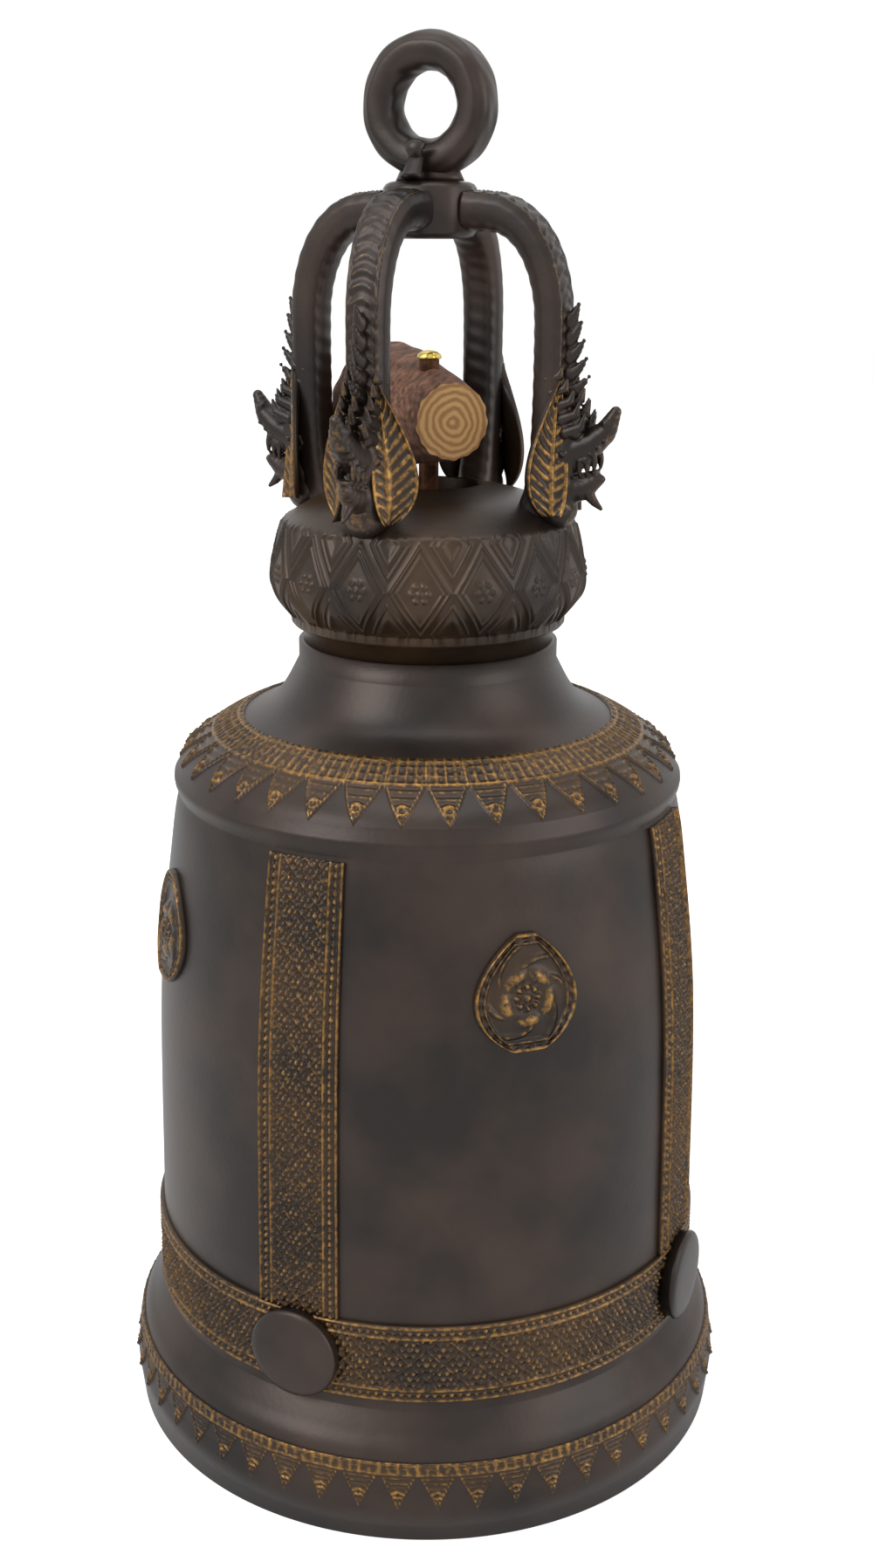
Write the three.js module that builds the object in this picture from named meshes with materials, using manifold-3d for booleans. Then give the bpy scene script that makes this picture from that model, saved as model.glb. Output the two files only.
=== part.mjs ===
// A cast bronze temple bell with a lotus collar and a four-armed crown that carries a hanging ring.
// Units are millimetres, +Z is up, and the bell's rim stands on z = 0.
// The front arm points to -Y, the right one to +X.
import * as THREE from "three";
import { mergeVertices } from "three/addons/utils/BufferGeometryUtils.js";
import Module from "manifold-3d";

const wasm = await Module();
wasm.setup();

// Fits
const SEAT_GAP = 0.3;
const SLIDE_GAP = 0.4;

// Bell body
const LIP_RADIUS = 138.4;
const RIM_INSET = 1.9;
const RIM_RADIUS = LIP_RADIUS - RIM_INSET;
const LIP_HEIGHT = 18;
const WAIST_FOOT_RADIUS = 123.5;
const WAIST_FOOT_HEIGHT = 54;
const WAIST_TOP_RADIUS = 113;
const RIDGE_RADIUS = 110;
const RIDGE_HEIGHT = 303;
const WAIST_TOP_DROP = 29;
const WAIST_TOP_HEIGHT = RIDGE_HEIGHT - WAIST_TOP_DROP;
const SHOULDER_RISE = 37;
const SHOULDER_HEIGHT = RIDGE_HEIGHT + SHOULDER_RISE;
const NECK_RADIUS = 56;
const NECK_LENGTH = 18;
const NECK_HEIGHT = SHOULDER_HEIGHT + NECK_LENGTH;
const NECK_INNER_RADIUS = 40;
const WALL = 8;
const LIP_WALL = 13;

// Crown cap
const COLLAR_RADIUS = 67;
const COLLAR_FOOT_RADIUS = 59;
const COLLAR_SPIGOT_DEPTH = 10;
const COLLAR_LIFT = 12;
const COLLAR_FOOT_HEIGHT = NECK_HEIGHT + COLLAR_LIFT;
const COLLAR_HEIGHT = 41;
const COLLAR_TOP_HEIGHT = COLLAR_FOOT_HEIGHT + COLLAR_HEIGHT;
const CAP_EDGE_RADIUS = 61;
const CAP_HOLE_RADIUS = 22;
const CAP_RISE = 14;
const PETALS = 16;
const PETAL_RELIEF = 1.6;

// Crown arms, hub and ring
const ARM_WIDTH = 16.5;
const ARM_DEPTH = 13.5;
const ARM_FOOT_RADIUS = 47.5;
const ARM_BOW_RADIUS = 55;
const HUB_RADIUS = 19;
const HUB_HEIGHT = 22;
const CROWN_RISE = 113;
const HUB_BASE = COLLAR_TOP_HEIGHT + CROWN_RISE;
const RING_RADIUS = 28;
const RING_HOLE_RADIUS = 12.5;
const RING_THICKNESS = 20;
const RING_FOOT = 1;
const TAIL_WIDTH = 9;

// Relief
const BAND_WIDTH = 37;
const BAND_HEIGHT = 3;
const LOWER_BAND_FOOT = 59;
const LOWER_BAND_TOP = 95;
const SHOULDER_PENDANTS = 36;
const LIP_PENDANTS = 52;
const PENDANT_DROP = 10;
const SHOULDER_BELT_RISE = 22;
const SHOULDER_BELT_TOP = RIDGE_HEIGHT + SHOULDER_BELT_RISE;
const LIP_BELT_RISE = 18;
const LIP_BELT_TOP = LIP_HEIGHT + LIP_BELT_RISE;
const LIP_PENDANT_DROP = 13;
const PENDANT_RELIEF = 1.3;
const MEDALLION_HEIGHT = 49;
const MEDALLION_WIDTH = 46;
const MEDALLION_CENTRE = 239;
const BOSS_RADIUS = 20;
const BOSS_HEIGHT = 4;

// Log, rod and clapper
const LOG_FRONT_RADIUS = 16;
const LOG_FRONT_REACH = 28;
const LOG_REAR_REACH = 50;
const LOG_BITE = 3.5;
const LOG_RISE = 42;
const LOG_HEIGHT = COLLAR_TOP_HEIGHT + LOG_RISE;
const ROD_RADIUS = 4.2;
const RIVET_RADIUS = 5.2;
const PIVOT_DROP = 7;
const PIVOT_HEIGHT = RIDGE_HEIGHT - PIVOT_DROP;
const PIN_RADIUS = 3;
const CLEVIS_WIDTH = 22;
const CLEVIS_DEPTH = 14;
const CLEVIS_SLOT = 9;
const STEM_RADIUS = 4.5;
const STEM_LENGTH = 205;
const BALL_RADIUS = 24;

const bronze = new THREE.MeshStandardMaterial({ color: 0x33291f, metalness: 0.8, roughness: 0.45 });
const rubbed = new THREE.MeshStandardMaterial({ color: 0x8a6a3a, metalness: 0.8, roughness: 0.5 });
const wood = new THREE.MeshStandardMaterial({ color: 0x7a5238, metalness: 0, roughness: 0.85 });
const iron = new THREE.MeshStandardMaterial({ color: 0x4a3526, metalness: 0.6, roughness: 0.7 });
const brass = new THREE.MeshStandardMaterial({ color: 0xd8bf58, metalness: 0.9, roughness: 0.3 });

const bell = new THREE.Group();

// Geometry with shared vertices only, its faces turned outwards.
function closed(geometry) {
  geometry.deleteAttribute("normal");
  geometry.deleteAttribute("uv");
  const merged = mergeVertices(geometry, 1e-3);
  const p = merged.attributes.position;
  const index = merged.index.array;
  const kept = [];
  for (let i = 0; i < index.length; i += 3) {
    const [a, b, c] = [index[i], index[i + 1], index[i + 2]];
    if (a !== b && b !== c && c !== a) kept.push(a, b, c);
  }
  const [u, v, w] = [new THREE.Vector3(), new THREE.Vector3(), new THREE.Vector3()];
  let volume = 0;
  for (let i = 0; i < kept.length; i += 3) {
    u.fromBufferAttribute(p, kept[i]);
    v.fromBufferAttribute(p, kept[i + 1]);
    w.fromBufferAttribute(p, kept[i + 2]);
    volume += u.dot(v.cross(w));
  }
  if (volume < 0) kept.reverse();
  merged.setIndex(kept);
  merged.computeVertexNormals();
  return merged;
}

// A manifold-3d solid of a closed geometry, and back.
function solid(geometry) {
  const g = closed(geometry);
  const mesh = new wasm.Mesh({
    numProp: 3,
    vertProperties: new Float32Array(g.attributes.position.array),
    triVerts: new Uint32Array(g.index.array),
  });
  return new wasm.Manifold(mesh);
}

function geometryOf(made) {
  const mesh = made.getMesh();
  const g = new THREE.BufferGeometry();
  g.setAttribute("position", new THREE.BufferAttribute(new Float32Array(mesh.vertProperties), 3));
  g.setIndex(new THREE.BufferAttribute(new Uint32Array(mesh.triVerts), 1));
  g.computeVertexNormals();
  return g;
}

// The largest body of a solid whose cut left crumbs.
function largest(made) {
  return made.decompose().sort((a, b) => b.volume() - a.volume())[0];
}

function add(name, geometry, material, turn = 0) {
  const mesh = new THREE.Mesh(geometry, material);
  mesh.name = name;
  mesh.rotation.z = turn;
  bell.add(mesh);
  return mesh;
}

// A profile of [radius, height] points, bottom to top on the outside, turned about Z.
function turned(profile, segments) {
  const points = profile.map(([r, z]) => new THREE.Vector2(r, z));
  if (profile[0][0] > 0) points.push(points[0].clone());
  return new THREE.LatheGeometry(points, segments).rotateX(Math.PI / 2);
}

// Points of a smooth curve through the named stations of a profile.
function smooth(stations, count) {
  const curve = new THREE.SplineCurve(stations.map(([r, z]) => new THREE.Vector2(r, z)));
  return curve.getPoints(count).map((p) => [p.x, p.y]);
}

// Bell body: lip, flared foot, waist, ridge, shoulder and neck, hollow below
const outerProfile = [
  [RIM_RADIUS, 0],
  [LIP_RADIUS, LIP_HEIGHT],
  ...smooth(
    [
      [LIP_RADIUS - 1.5, LIP_HEIGHT + 4],
      [LIP_RADIUS - 4, LIP_HEIGHT + 20],
      [WAIST_FOOT_RADIUS + 5.5, WAIST_FOOT_HEIGHT - 7.5],
      [WAIST_FOOT_RADIUS, WAIST_FOOT_HEIGHT],
    ],
    5,
  ),
  ...smooth(
    [
      [WAIST_FOOT_RADIUS, WAIST_FOOT_HEIGHT + 4],
      [WAIST_FOOT_RADIUS - 0.5, WAIST_FOOT_HEIGHT + 58],
      [WAIST_FOOT_RADIUS - 3, WAIST_TOP_HEIGHT - 68],
      [WAIST_TOP_RADIUS, WAIST_TOP_HEIGHT],
      [RIDGE_RADIUS - 0.5, RIDGE_HEIGHT - 10],
    ],
    7,
  ),
  [RIDGE_RADIUS + 1.5, RIDGE_HEIGHT - 6],
  [RIDGE_RADIUS + 1.5, RIDGE_HEIGHT - 2],
  [RIDGE_RADIUS - 0.5, RIDGE_HEIGHT],
  ...smooth(
    [
      [RIDGE_RADIUS - 1, RIDGE_HEIGHT + 3],
      [RIDGE_RADIUS - 7, RIDGE_HEIGHT + 9.5],
      [RIDGE_RADIUS - 23, RIDGE_HEIGHT + 19.5],
      [67, SHOULDER_HEIGHT - 7.5],
      [NECK_RADIUS, NECK_HEIGHT - 8],
    ],
    8,
  ),
  [NECK_RADIUS, NECK_HEIGHT],
];

// Radius of the body's outside at a height, without the ridge.
function outsideRadius(z) {
  for (let i = 1; i < outerProfile.length; i += 1) {
    const [r0, z0] = outerProfile[i - 1];
    const [r1, z1] = outerProfile[i];
    if (z <= z1 && z1 > z0) return r0 + ((r1 - r0) * Math.max(0, z - z0)) / (z1 - z0);
  }
  return NECK_RADIUS;
}

const BELL_SEGMENTS = LIP_PENDANTS;
const innerProfile = [
  [NECK_INNER_RADIUS, NECK_HEIGHT],
  [NECK_INNER_RADIUS, SHOULDER_HEIGHT - WALL],
  ...smooth(
    [
      [60, SHOULDER_HEIGHT - 1.7 * WALL],
      [RIDGE_RADIUS - 28, RIDGE_HEIGHT + 13.5],
      [RIDGE_RADIUS - WALL - 3, RIDGE_HEIGHT - 2],
      [WAIST_TOP_RADIUS - WALL, WAIST_TOP_HEIGHT - 8],
      [WAIST_FOOT_RADIUS - WALL, WAIST_FOOT_HEIGHT + 58],
      [WAIST_FOOT_RADIUS - WALL, WAIST_FOOT_HEIGHT + 6],
    ],
    9,
  ),
  [LIP_RADIUS - LIP_WALL - 5, LIP_HEIGHT + 16],
  [RIM_RADIUS - LIP_WALL, 0],
];
add("bell_body", closed(turned([...outerProfile, ...innerProfile], BELL_SEGMENTS)), bronze);

// Crown cap: a spigot in the neck, a lotus collar whose petals swell, and a low dome with a hole
function crownCap() {
  const spigot = NECK_INNER_RADIUS - SEAT_GAP;
  const foot = NECK_HEIGHT + SEAT_GAP;
  const dome = smooth(
    [
      [CAP_EDGE_RADIUS, COLLAR_TOP_HEIGHT],
      [44, COLLAR_TOP_HEIGHT + 0.65 * CAP_RISE],
      [CAP_HOLE_RADIUS, COLLAR_TOP_HEIGHT + CAP_RISE],
    ],
    3,
  );
  const collar = smooth(
    [
      [COLLAR_FOOT_RADIUS, COLLAR_FOOT_HEIGHT],
      [COLLAR_RADIUS - 1.5, 379],
      [COLLAR_RADIUS, 388],
      [64.5, 401],
      [CAP_EDGE_RADIUS + 1, COLLAR_TOP_HEIGHT - 1],
    ],
    7,
  );
  const profile = [
    [CAP_HOLE_RADIUS, NECK_HEIGHT - COLLAR_SPIGOT_DEPTH],
    [spigot, NECK_HEIGHT - COLLAR_SPIGOT_DEPTH],
    [spigot, foot],
    [NECK_RADIUS - 2, foot],
    [NECK_RADIUS - 2, COLLAR_FOOT_HEIGHT - 4],
    [COLLAR_FOOT_RADIUS, COLLAR_FOOT_HEIGHT - 4],
    ...collar,
    ...dome,
  ];
  const segments = PETALS * 4;
  const g = turned(profile, segments);
  const p = g.attributes.position;
  for (let i = 0; i < p.count; i += 1) {
    const [x, y, z] = [p.getX(i), p.getY(i), p.getZ(i)];
    const r = Math.hypot(x, y);
    const up = (z - COLLAR_FOOT_HEIGHT) / (COLLAR_TOP_HEIGHT - COLLAR_FOOT_HEIGHT);
    if (r < COLLAR_FOOT_RADIUS || up <= 0.01 || up >= 0.99) continue;
    const wave = Math.abs(Math.sin((Math.atan2(y, x) * PETALS) / 2));
    const swell = PETAL_RELIEF * Math.sin(Math.PI * up) * (2 * wave - 1);
    p.setXY(i, (x * (r + swell)) / r, (y * (r + swell)) / r);
  }
  return closed(g);
}
const cap = crownCap();
add("crown_cap", cap, bronze);
const capKeepOut = solid(cap.clone()).translate([0, 0, SEAT_GAP]);

// Height of the cap's top at a radius.
function domeHeight(r) {
  const t = (CAP_EDGE_RADIUS - r) / (CAP_EDGE_RADIUS - CAP_HOLE_RADIUS);
  return COLLAR_TOP_HEIGHT + CAP_RISE * Math.sin((Math.min(1, Math.max(0, t)) * Math.PI) / 2);
}

// A crown arm: a D section swept from the cap up, out and over to the hub, drawn in the XZ plane
const ARM_BASE = domeHeight(ARM_FOOT_RADIUS + ARM_DEPTH / 2) - 2;
function armShape() {
  const w = ARM_WIDTH / 2;
  const d = ARM_DEPTH / 2;
  const s = new THREE.Shape();
  s.moveTo(-d * 0.1, -w);
  s.lineTo(d * 0.75, -w * 0.85);
  s.lineTo(d, -w * 0.5);
  s.lineTo(d, w * 0.5);
  s.lineTo(d * 0.75, w * 0.85);
  s.lineTo(-d * 0.1, w);
  s.quadraticCurveTo(-d, w * 0.9, -d, 0);
  s.quadraticCurveTo(-d, -w * 0.9, -d * 0.1, -w);
  return s;
}

// The section stays square to the path: rows of points are set out along it and joined.
function sweptArm() {
  const reach = HUB_RADIUS + SEAT_GAP;
  const path = new THREE.SplineCurve([
    new THREE.Vector2(ARM_FOOT_RADIUS, ARM_BASE),
    new THREE.Vector2(ARM_BOW_RADIUS - 1.5, ARM_BASE + 22),
    new THREE.Vector2(ARM_BOW_RADIUS, HUB_BASE - 40),
    new THREE.Vector2(ARM_BOW_RADIUS - 1.5, HUB_BASE - 18),
    new THREE.Vector2(ARM_BOW_RADIUS - 8.5, HUB_BASE - 1),
    new THREE.Vector2(ARM_BOW_RADIUS - 20.5, HUB_BASE + HUB_HEIGHT / 2 - 2),
    new THREE.Vector2(reach, HUB_BASE + HUB_HEIGHT / 2),
  ]);
  const ring = armShape().getPoints(3).slice(0, -1);
  const steps = 13;
  const points = [];
  const index = [];
  for (let i = 0; i <= steps; i += 1) {
    const at = path.getPointAt(i / steps);
    const along = i === 0 ? new THREE.Vector2(0, 1) : path.getTangentAt(i / steps);
    const thin = 1 + 0.18 * (i / steps) ** 4;
    for (const q of ring) {
      points.push(at.x + along.y * q.x * thin, q.y * thin, at.y - along.x * q.x * thin);
    }
  }
  const n = ring.length;
  for (let i = 0; i < steps; i += 1) {
    for (let j = 0; j < n; j += 1) {
      const [a, b] = [i * n + j, i * n + ((j + 1) % n)];
      index.push(a, b, b + n, a, b + n, a + n);
    }
  }
  for (const [t0, t1, t2] of THREE.ShapeUtils.triangulateShape(ring, [])) {
    index.push(t0, t2, t1, steps * n + t0, steps * n + t1, steps * n + t2);
  }
  const g = new THREE.BufferGeometry();
  g.setAttribute("position", new THREE.BufferAttribute(new Float32Array(points), 3));
  g.setIndex(index);
  return g;
}

const SIDES = [
  ["right", 0],
  ["back", Math.PI / 2],
  ["left", Math.PI],
  ["front", -Math.PI / 2],
];
// The turned keep-outs repeat every petal, so one cut serves each side.
const hubKeepOut = solid(turned([[0, HUB_BASE - 20], [HUB_RADIUS + SEAT_GAP, HUB_BASE - 20],
  [HUB_RADIUS + SEAT_GAP, HUB_BASE + 40], [0, HUB_BASE + 40]], 24));
for (const [side, turn] of SIDES) {
  const arm = solid(sweptArm()).subtract(hubKeepOut).subtract(capKeepOut);
  add("crown_arm_" + side, geometryOf(largest(arm)), bronze, turn);
}

// Hub that the arms meet at
add(
  "crown_hub",
  closed(turned([[0, HUB_BASE], [HUB_RADIUS - 4, HUB_BASE], [HUB_RADIUS, HUB_BASE + 3],
    [HUB_RADIUS, HUB_BASE + HUB_HEIGHT - 2], [HUB_RADIUS - 3, HUB_BASE + HUB_HEIGHT],
    [0, HUB_BASE + HUB_HEIGHT]], 24)),
  bronze,
);

// Hanging ring: round inside, its rim flatter and wider than its bore, upright in the XZ plane
const RING_CENTRE = HUB_BASE + HUB_HEIGHT + SEAT_GAP + RING_FOOT + RING_RADIUS;
function ringShape() {
  const half = RING_THICKNESS / 2;
  const middle = (RING_RADIUS + RING_HOLE_RADIUS) / 2;
  const profile = [
    [RING_RADIUS, -half * 0.5],
    [RING_RADIUS, half * 0.5],
    [RING_RADIUS - 3, half * 0.85],
    [middle + 2, half],
    [middle - 3, half * 0.9],
    [RING_HOLE_RADIUS + 1.5, half * 0.55],
    [RING_HOLE_RADIUS, 0],
    [RING_HOLE_RADIUS + 1.5, -half * 0.55],
    [middle - 3, -half * 0.9],
    [middle + 2, -half],
    [RING_RADIUS - 3, -half * 0.85],
  ];
  return turned(profile, 28).rotateX(Math.PI / 2).translate(0, 0, RING_CENTRE);
}
const FOOT_HEIGHT = RING_FOOT + 4;
const foot = new THREE.BoxGeometry(2 * HUB_RADIUS - 10, RING_THICKNESS * 0.8, FOOT_HEIGHT);
foot.translate(0, 0, HUB_BASE + HUB_HEIGHT + SEAT_GAP + FOOT_HEIGHT / 2);
add("suspension_ring", geometryOf(solid(ringShape()).add(solid(foot))), bronze);

// Tails of the crest that climb the ring's faces
function tail() {
  const s = new THREE.Shape();
  const base = HUB_BASE + HUB_HEIGHT + SEAT_GAP;
  const face = RING_THICKNESS / 2 + SEAT_GAP;
  s.moveTo(face, base);
  s.lineTo(face + 7, base);
  const hole = RING_CENTRE - RING_HOLE_RADIUS;
  s.quadraticCurveTo(face + 2.5, base + 10, face + 3.5, hole - 8);
  s.quadraticCurveTo(face + 7, hole - 4, face + 3, hole - 1);
  s.lineTo(face, hole - 3);
  const g = new THREE.ExtrudeGeometry(s, { depth: TAIL_WIDTH, bevelEnabled: false, curveSegments: 4 });
  return g.translate(0, 0, -TAIL_WIDTH / 2).rotateX(Math.PI / 2);
}
add("ring_tail_front", closed(tail()), bronze, -Math.PI / 2);
add("ring_tail_back", closed(tail()), bronze, Math.PI / 2);

// A naga head at each arm's foot: block, jaws and an upturned snout, in side view, then thickened
const HEAD_BACK = ARM_FOOT_RADIUS + ARM_DEPTH / 2 + 4.5;
const HEAD_WIDTH = 17;
function headShape() {
  const s = new THREE.Shape();
  const base = COLLAR_TOP_HEIGHT + 10;
  s.moveTo(HEAD_BACK - 7, base - 12);
  s.lineTo(HEAD_BACK + 3, base - 12);
  s.quadraticCurveTo(HEAD_BACK + 12, base - 6, HEAD_BACK + 17, base + 3);
  s.lineTo(HEAD_BACK + 20, base + 10);
  s.lineTo(HEAD_BACK + 12, base + 14);
  s.lineTo(HEAD_BACK + 13, base + 18);
  s.quadraticCurveTo(HEAD_BACK + 22, base + 19, HEAD_BACK + 27, base + 36);
  s.quadraticCurveTo(HEAD_BACK + 20, base + 34, HEAD_BACK + 15, base + 29);
  s.quadraticCurveTo(HEAD_BACK + 12, base + 37, HEAD_BACK + 3, base + 38);
  s.lineTo(HEAD_BACK, base + 44);
  return s;
}
function head() {
  const bevel = 2;
  const g = new THREE.ExtrudeGeometry(headShape(), {
    depth: HEAD_WIDTH - 2 * bevel,
    bevelSize: bevel * 0.6,
    bevelThickness: bevel,
    bevelOffset: -bevel * 0.6,
    bevelSegments: 2,
    curveSegments: 4,
  });
  return g.translate(0, 0, -(HEAD_WIDTH - 2 * bevel) / 2).rotateX(Math.PI / 2);
}

// Flame crest along the outer side of the arm above the head
const CREST_FOOT = COLLAR_TOP_HEIGHT + 56;
const CREST_TEETH = 4;
const CREST_PITCH = 8;
function crest() {
  const back = ARM_BOW_RADIUS + ARM_DEPTH / 2 + SEAT_GAP;
  const s = new THREE.Shape();
  s.moveTo(back, CREST_FOOT);
  for (let i = 0; i < CREST_TEETH; i += 1) {
    const z = CREST_FOOT + i * CREST_PITCH;
    const out = 8 - 1.4 * i;
    s.quadraticCurveTo(back + out * 0.8, z + 1, back + out, z + CREST_PITCH + 1);
    s.lineTo(back + 1.5, z + CREST_PITCH - 1);
  }
  s.lineTo(back, CREST_FOOT + CREST_TEETH * CREST_PITCH - 1);
  const g = new THREE.ExtrudeGeometry(s, { depth: 6, bevelEnabled: false, curveSegments: 3 });
  return g.translate(0, 0, -3).rotateX(Math.PI / 2);
}

// Leaf plates that flank each head
const LEAF_HEIGHT = 44;
const LEAF_WIDTH = 15;
const LEAF_THICKNESS = 3;
const LEAF_LEAN = 2;
function leaf() {
  const s = new THREE.Shape();
  s.moveTo(-2.5, 0);
  s.bezierCurveTo(-LEAF_WIDTH * 0.7, LEAF_HEIGHT * 0.3, -LEAF_WIDTH * 0.5, LEAF_HEIGHT * 0.7, 0, LEAF_HEIGHT);
  s.bezierCurveTo(LEAF_WIDTH * 0.5, LEAF_HEIGHT * 0.7, LEAF_WIDTH * 0.7, LEAF_HEIGHT * 0.3, 2.5, 0);
  const g = new THREE.ExtrudeGeometry(s, {
    depth: LEAF_THICKNESS - 1.6,
    bevelSize: 0.8,
    bevelThickness: 0.8,
    bevelOffset: -0.8,
    bevelSegments: 1,
    curveSegments: 8,
  });
  return g.rotateX(Math.PI / 2);
}

const armKeepOut = solid(sweptArm());
for (const [side, turn] of SIDES) {
  const grown = armKeepOut.add(armKeepOut.translate([SEAT_GAP, 0, 0]));
  const trimmed = solid(head()).subtract(grown).subtract(capKeepOut);
  add("naga_head_" + side, geometryOf(largest(trimmed)), bronze, turn);
  add("head_crest_" + side, geometryOf(largest(solid(crest()).subtract(grown))), bronze, turn);
  for (const [hand, sign] of [["a", -1], ["b", 1]]) {
    const plate = leaf();
    plate.rotateZ(Math.PI / 2);
    plate.rotateX(-sign * 0.16);
    const aside = sign * (HEAD_WIDTH / 2 + LEAF_THICKNESS + LEAF_LEAN);
    plate.translate(HEAD_BACK + 3, aside, COLLAR_TOP_HEIGHT + 12);
    add("leaf_" + side + "_" + hand, geometryOf(solid(plate)), bronze, turn);
  }
}

// The body's outside with the seat gap added, filled to the axis
const grownProfile = outerProfile.map(([r, z]) => [r + SEAT_GAP, z]);
const bodyKeepOut = solid(turned([[0, 0], ...grownProfile, [0, NECK_HEIGHT]], BELL_SEGMENTS));
const ROOT_DEPTH = 3;

// A plate on the body's outside: place(u, v) gives [angle, z] and height(u, v) how far it stands out
function wrapped(nu, nv, place, height, loop = false) {
  const columns = loop ? nu : nu + 1;
  const points = [];
  const index = [];
  for (const layer of [0, 1]) {
    for (let i = 0; i < columns; i += 1) {
      for (let j = 0; j <= nv; j += 1) {
        const [u, v] = [i / nu, j / nv];
        const [angle, z] = place(u, v);
        const r = outsideRadius(z) + (layer === 1 ? SEAT_GAP + height(u, v) : -ROOT_DEPTH);
        points.push(r * Math.cos(angle), r * Math.sin(angle), z);
      }
    }
  }
  const rows = nv + 1;
  const at = (layer, i, j) => layer * columns * rows + (i % columns) * rows + j;
  const quad = (a, b, c, d) => index.push(a, b, c, a, c, d);
  for (let i = 0; i < nu; i += 1) {
    for (let j = 0; j < nv; j += 1) {
      quad(at(1, i, j), at(1, i + 1, j), at(1, i + 1, j + 1), at(1, i, j + 1));
      quad(at(0, i, j), at(0, i, j + 1), at(0, i + 1, j + 1), at(0, i + 1, j));
    }
    quad(at(0, i, 0), at(0, i + 1, 0), at(1, i + 1, 0), at(1, i, 0));
    quad(at(0, i, nv), at(1, i, nv), at(1, i + 1, nv), at(0, i + 1, nv));
  }
  if (!loop) {
    for (let j = 0; j < nv; j += 1) {
      quad(at(0, 0, j), at(1, 0, j), at(1, 0, j + 1), at(0, 0, j + 1));
      quad(at(0, nu, j), at(0, nu, j + 1), at(1, nu, j + 1), at(1, nu, j));
    }
  }
  const g = new THREE.BufferGeometry();
  g.setAttribute("position", new THREE.BufferAttribute(new Float32Array(points), 3));
  g.setIndex(index);
  return geometryOf(largest(solid(g).subtract(bodyKeepOut)));
}

// Lower relief band round the foot of the waist
const BOSS_CENTRE = (LOWER_BAND_FOOT + LOWER_BAND_TOP) / 2;
add(
  "lower_band",
  wrapped(BELL_SEGMENTS, 3,
    (u, v) => [2 * Math.PI * u, LOWER_BAND_FOOT + (LOWER_BAND_TOP - LOWER_BAND_FOOT) * v],
    (u, v) => (v < 0.1 || v > 0.9 ? BAND_HEIGHT : BAND_HEIGHT - 0.8), true),
  rubbed,
);

// Rows of pendants: a belt whose lower edge runs in points
function pendants(count, top, belt, drop) {
  return wrapped(count * 2, 1, (u, v) => {
    const tip = Math.round(u * count * 2) % 2 === 1;
    return [2 * Math.PI * u, v === 1 ? top : top - belt - (tip ? drop : 0)];
  }, () => PENDANT_RELIEF, true);
}
add("shoulder_pendants", pendants(SHOULDER_PENDANTS, SHOULDER_BELT_TOP, 8, PENDANT_DROP), rubbed);
add("lip_pendants", pendants(LIP_PENDANTS, LIP_BELT_TOP, 6, LIP_PENDANT_DROP), rubbed);

// Vertical bands from the lower band to the shoulder, each in line with an arm
const BAND_FOOT = LOWER_BAND_TOP + SEAT_GAP;
const BAND_TOP = RIDGE_HEIGHT - 12;
for (const [side, turn] of SIDES) {
  const half = BAND_WIDTH / 2 / WAIST_FOOT_RADIUS;
  const place = (u, v) => [turn + half * (2 * u - 1), BAND_FOOT + (BAND_TOP - BAND_FOOT) * v];
  const rail = (u) => (u < 0.2 || u > 0.8 ? BAND_HEIGHT : BAND_HEIGHT - 1.2);
  add("waist_band_" + side, wrapped(6, 10, place, rail), rubbed);
}

// Medallions in the panels between the bands
const CORNERS = ["right_back", "back_left", "left_front", "front_right"];
CORNERS.forEach((corner, i) => {
  const middle = Math.PI / 4 + (i * Math.PI) / 2;
  const place = (u, v) => {
    const t = Math.sin(Math.PI * (0.04 + 0.92 * v)) ** 0.6 * (1.12 - 0.35 * v);
    const across = (MEDALLION_WIDTH / 2) * t * (2 * u - 1);
    return [middle + across / 118, MEDALLION_CENTRE + MEDALLION_HEIGHT * (v - 0.5)];
  };
  const domed = (u, v) => 1.2 + 2.2 * Math.sin(Math.PI * u) * Math.sin(Math.PI * v);
  add("medallion_" + corner, wrapped(6, 8, place, domed), rubbed);
});

// Striking bosses, each a round disc seated over the lower band in line with an arm
for (const [side, turn] of SIDES) {
  const seat = outsideRadius(BOSS_CENTRE) + BAND_HEIGHT + 2 * SEAT_GAP;
  const disc = turned([[0, 0], [BOSS_RADIUS - 1, 0], [BOSS_RADIUS, 1.5], [BOSS_RADIUS - 2, BOSS_HEIGHT - 1],
    [BOSS_RADIUS - 5, BOSS_HEIGHT], [0, BOSS_HEIGHT + 0.6]], 20);
  disc.rotateY(Math.PI / 2).translate(seat, 0, BOSS_CENTRE);
  add("strike_boss_" + side, closed(disc), rubbed, turn);
}

// Log wedged across the crown between the back and left arms, bored for the rod
const LOG_TURN = -Math.PI / 4;
const ARM_CORNER = Math.SQRT1_2 * (ARM_BOW_RADIUS - ARM_DEPTH / 2 - ARM_WIDTH / 2) + LOG_BITE;
const LOG_REAR_RADIUS = ARM_CORNER;
const logCone = turned([[0, -LOG_FRONT_REACH], [LOG_FRONT_RADIUS - 1, -LOG_FRONT_REACH],
  [LOG_FRONT_RADIUS, -LOG_FRONT_REACH + 1.5], [LOG_REAR_RADIUS, LOG_REAR_REACH - 6],
  [LOG_REAR_RADIUS - 2, LOG_REAR_REACH], [0, LOG_REAR_REACH]], 28);
logCone.rotateY(-Math.PI / 2).rotateZ(LOG_TURN).translate(0, 0, LOG_HEIGHT);
const rodBore = solid(turned([[0, LOG_HEIGHT - 60], [ROD_RADIUS + SLIDE_GAP, LOG_HEIGHT - 60],
  [ROD_RADIUS + SLIDE_GAP, LOG_HEIGHT + 60], [0, LOG_HEIGHT + 60]], 20));
let log = solid(logCone).subtract(rodBore);
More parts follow.
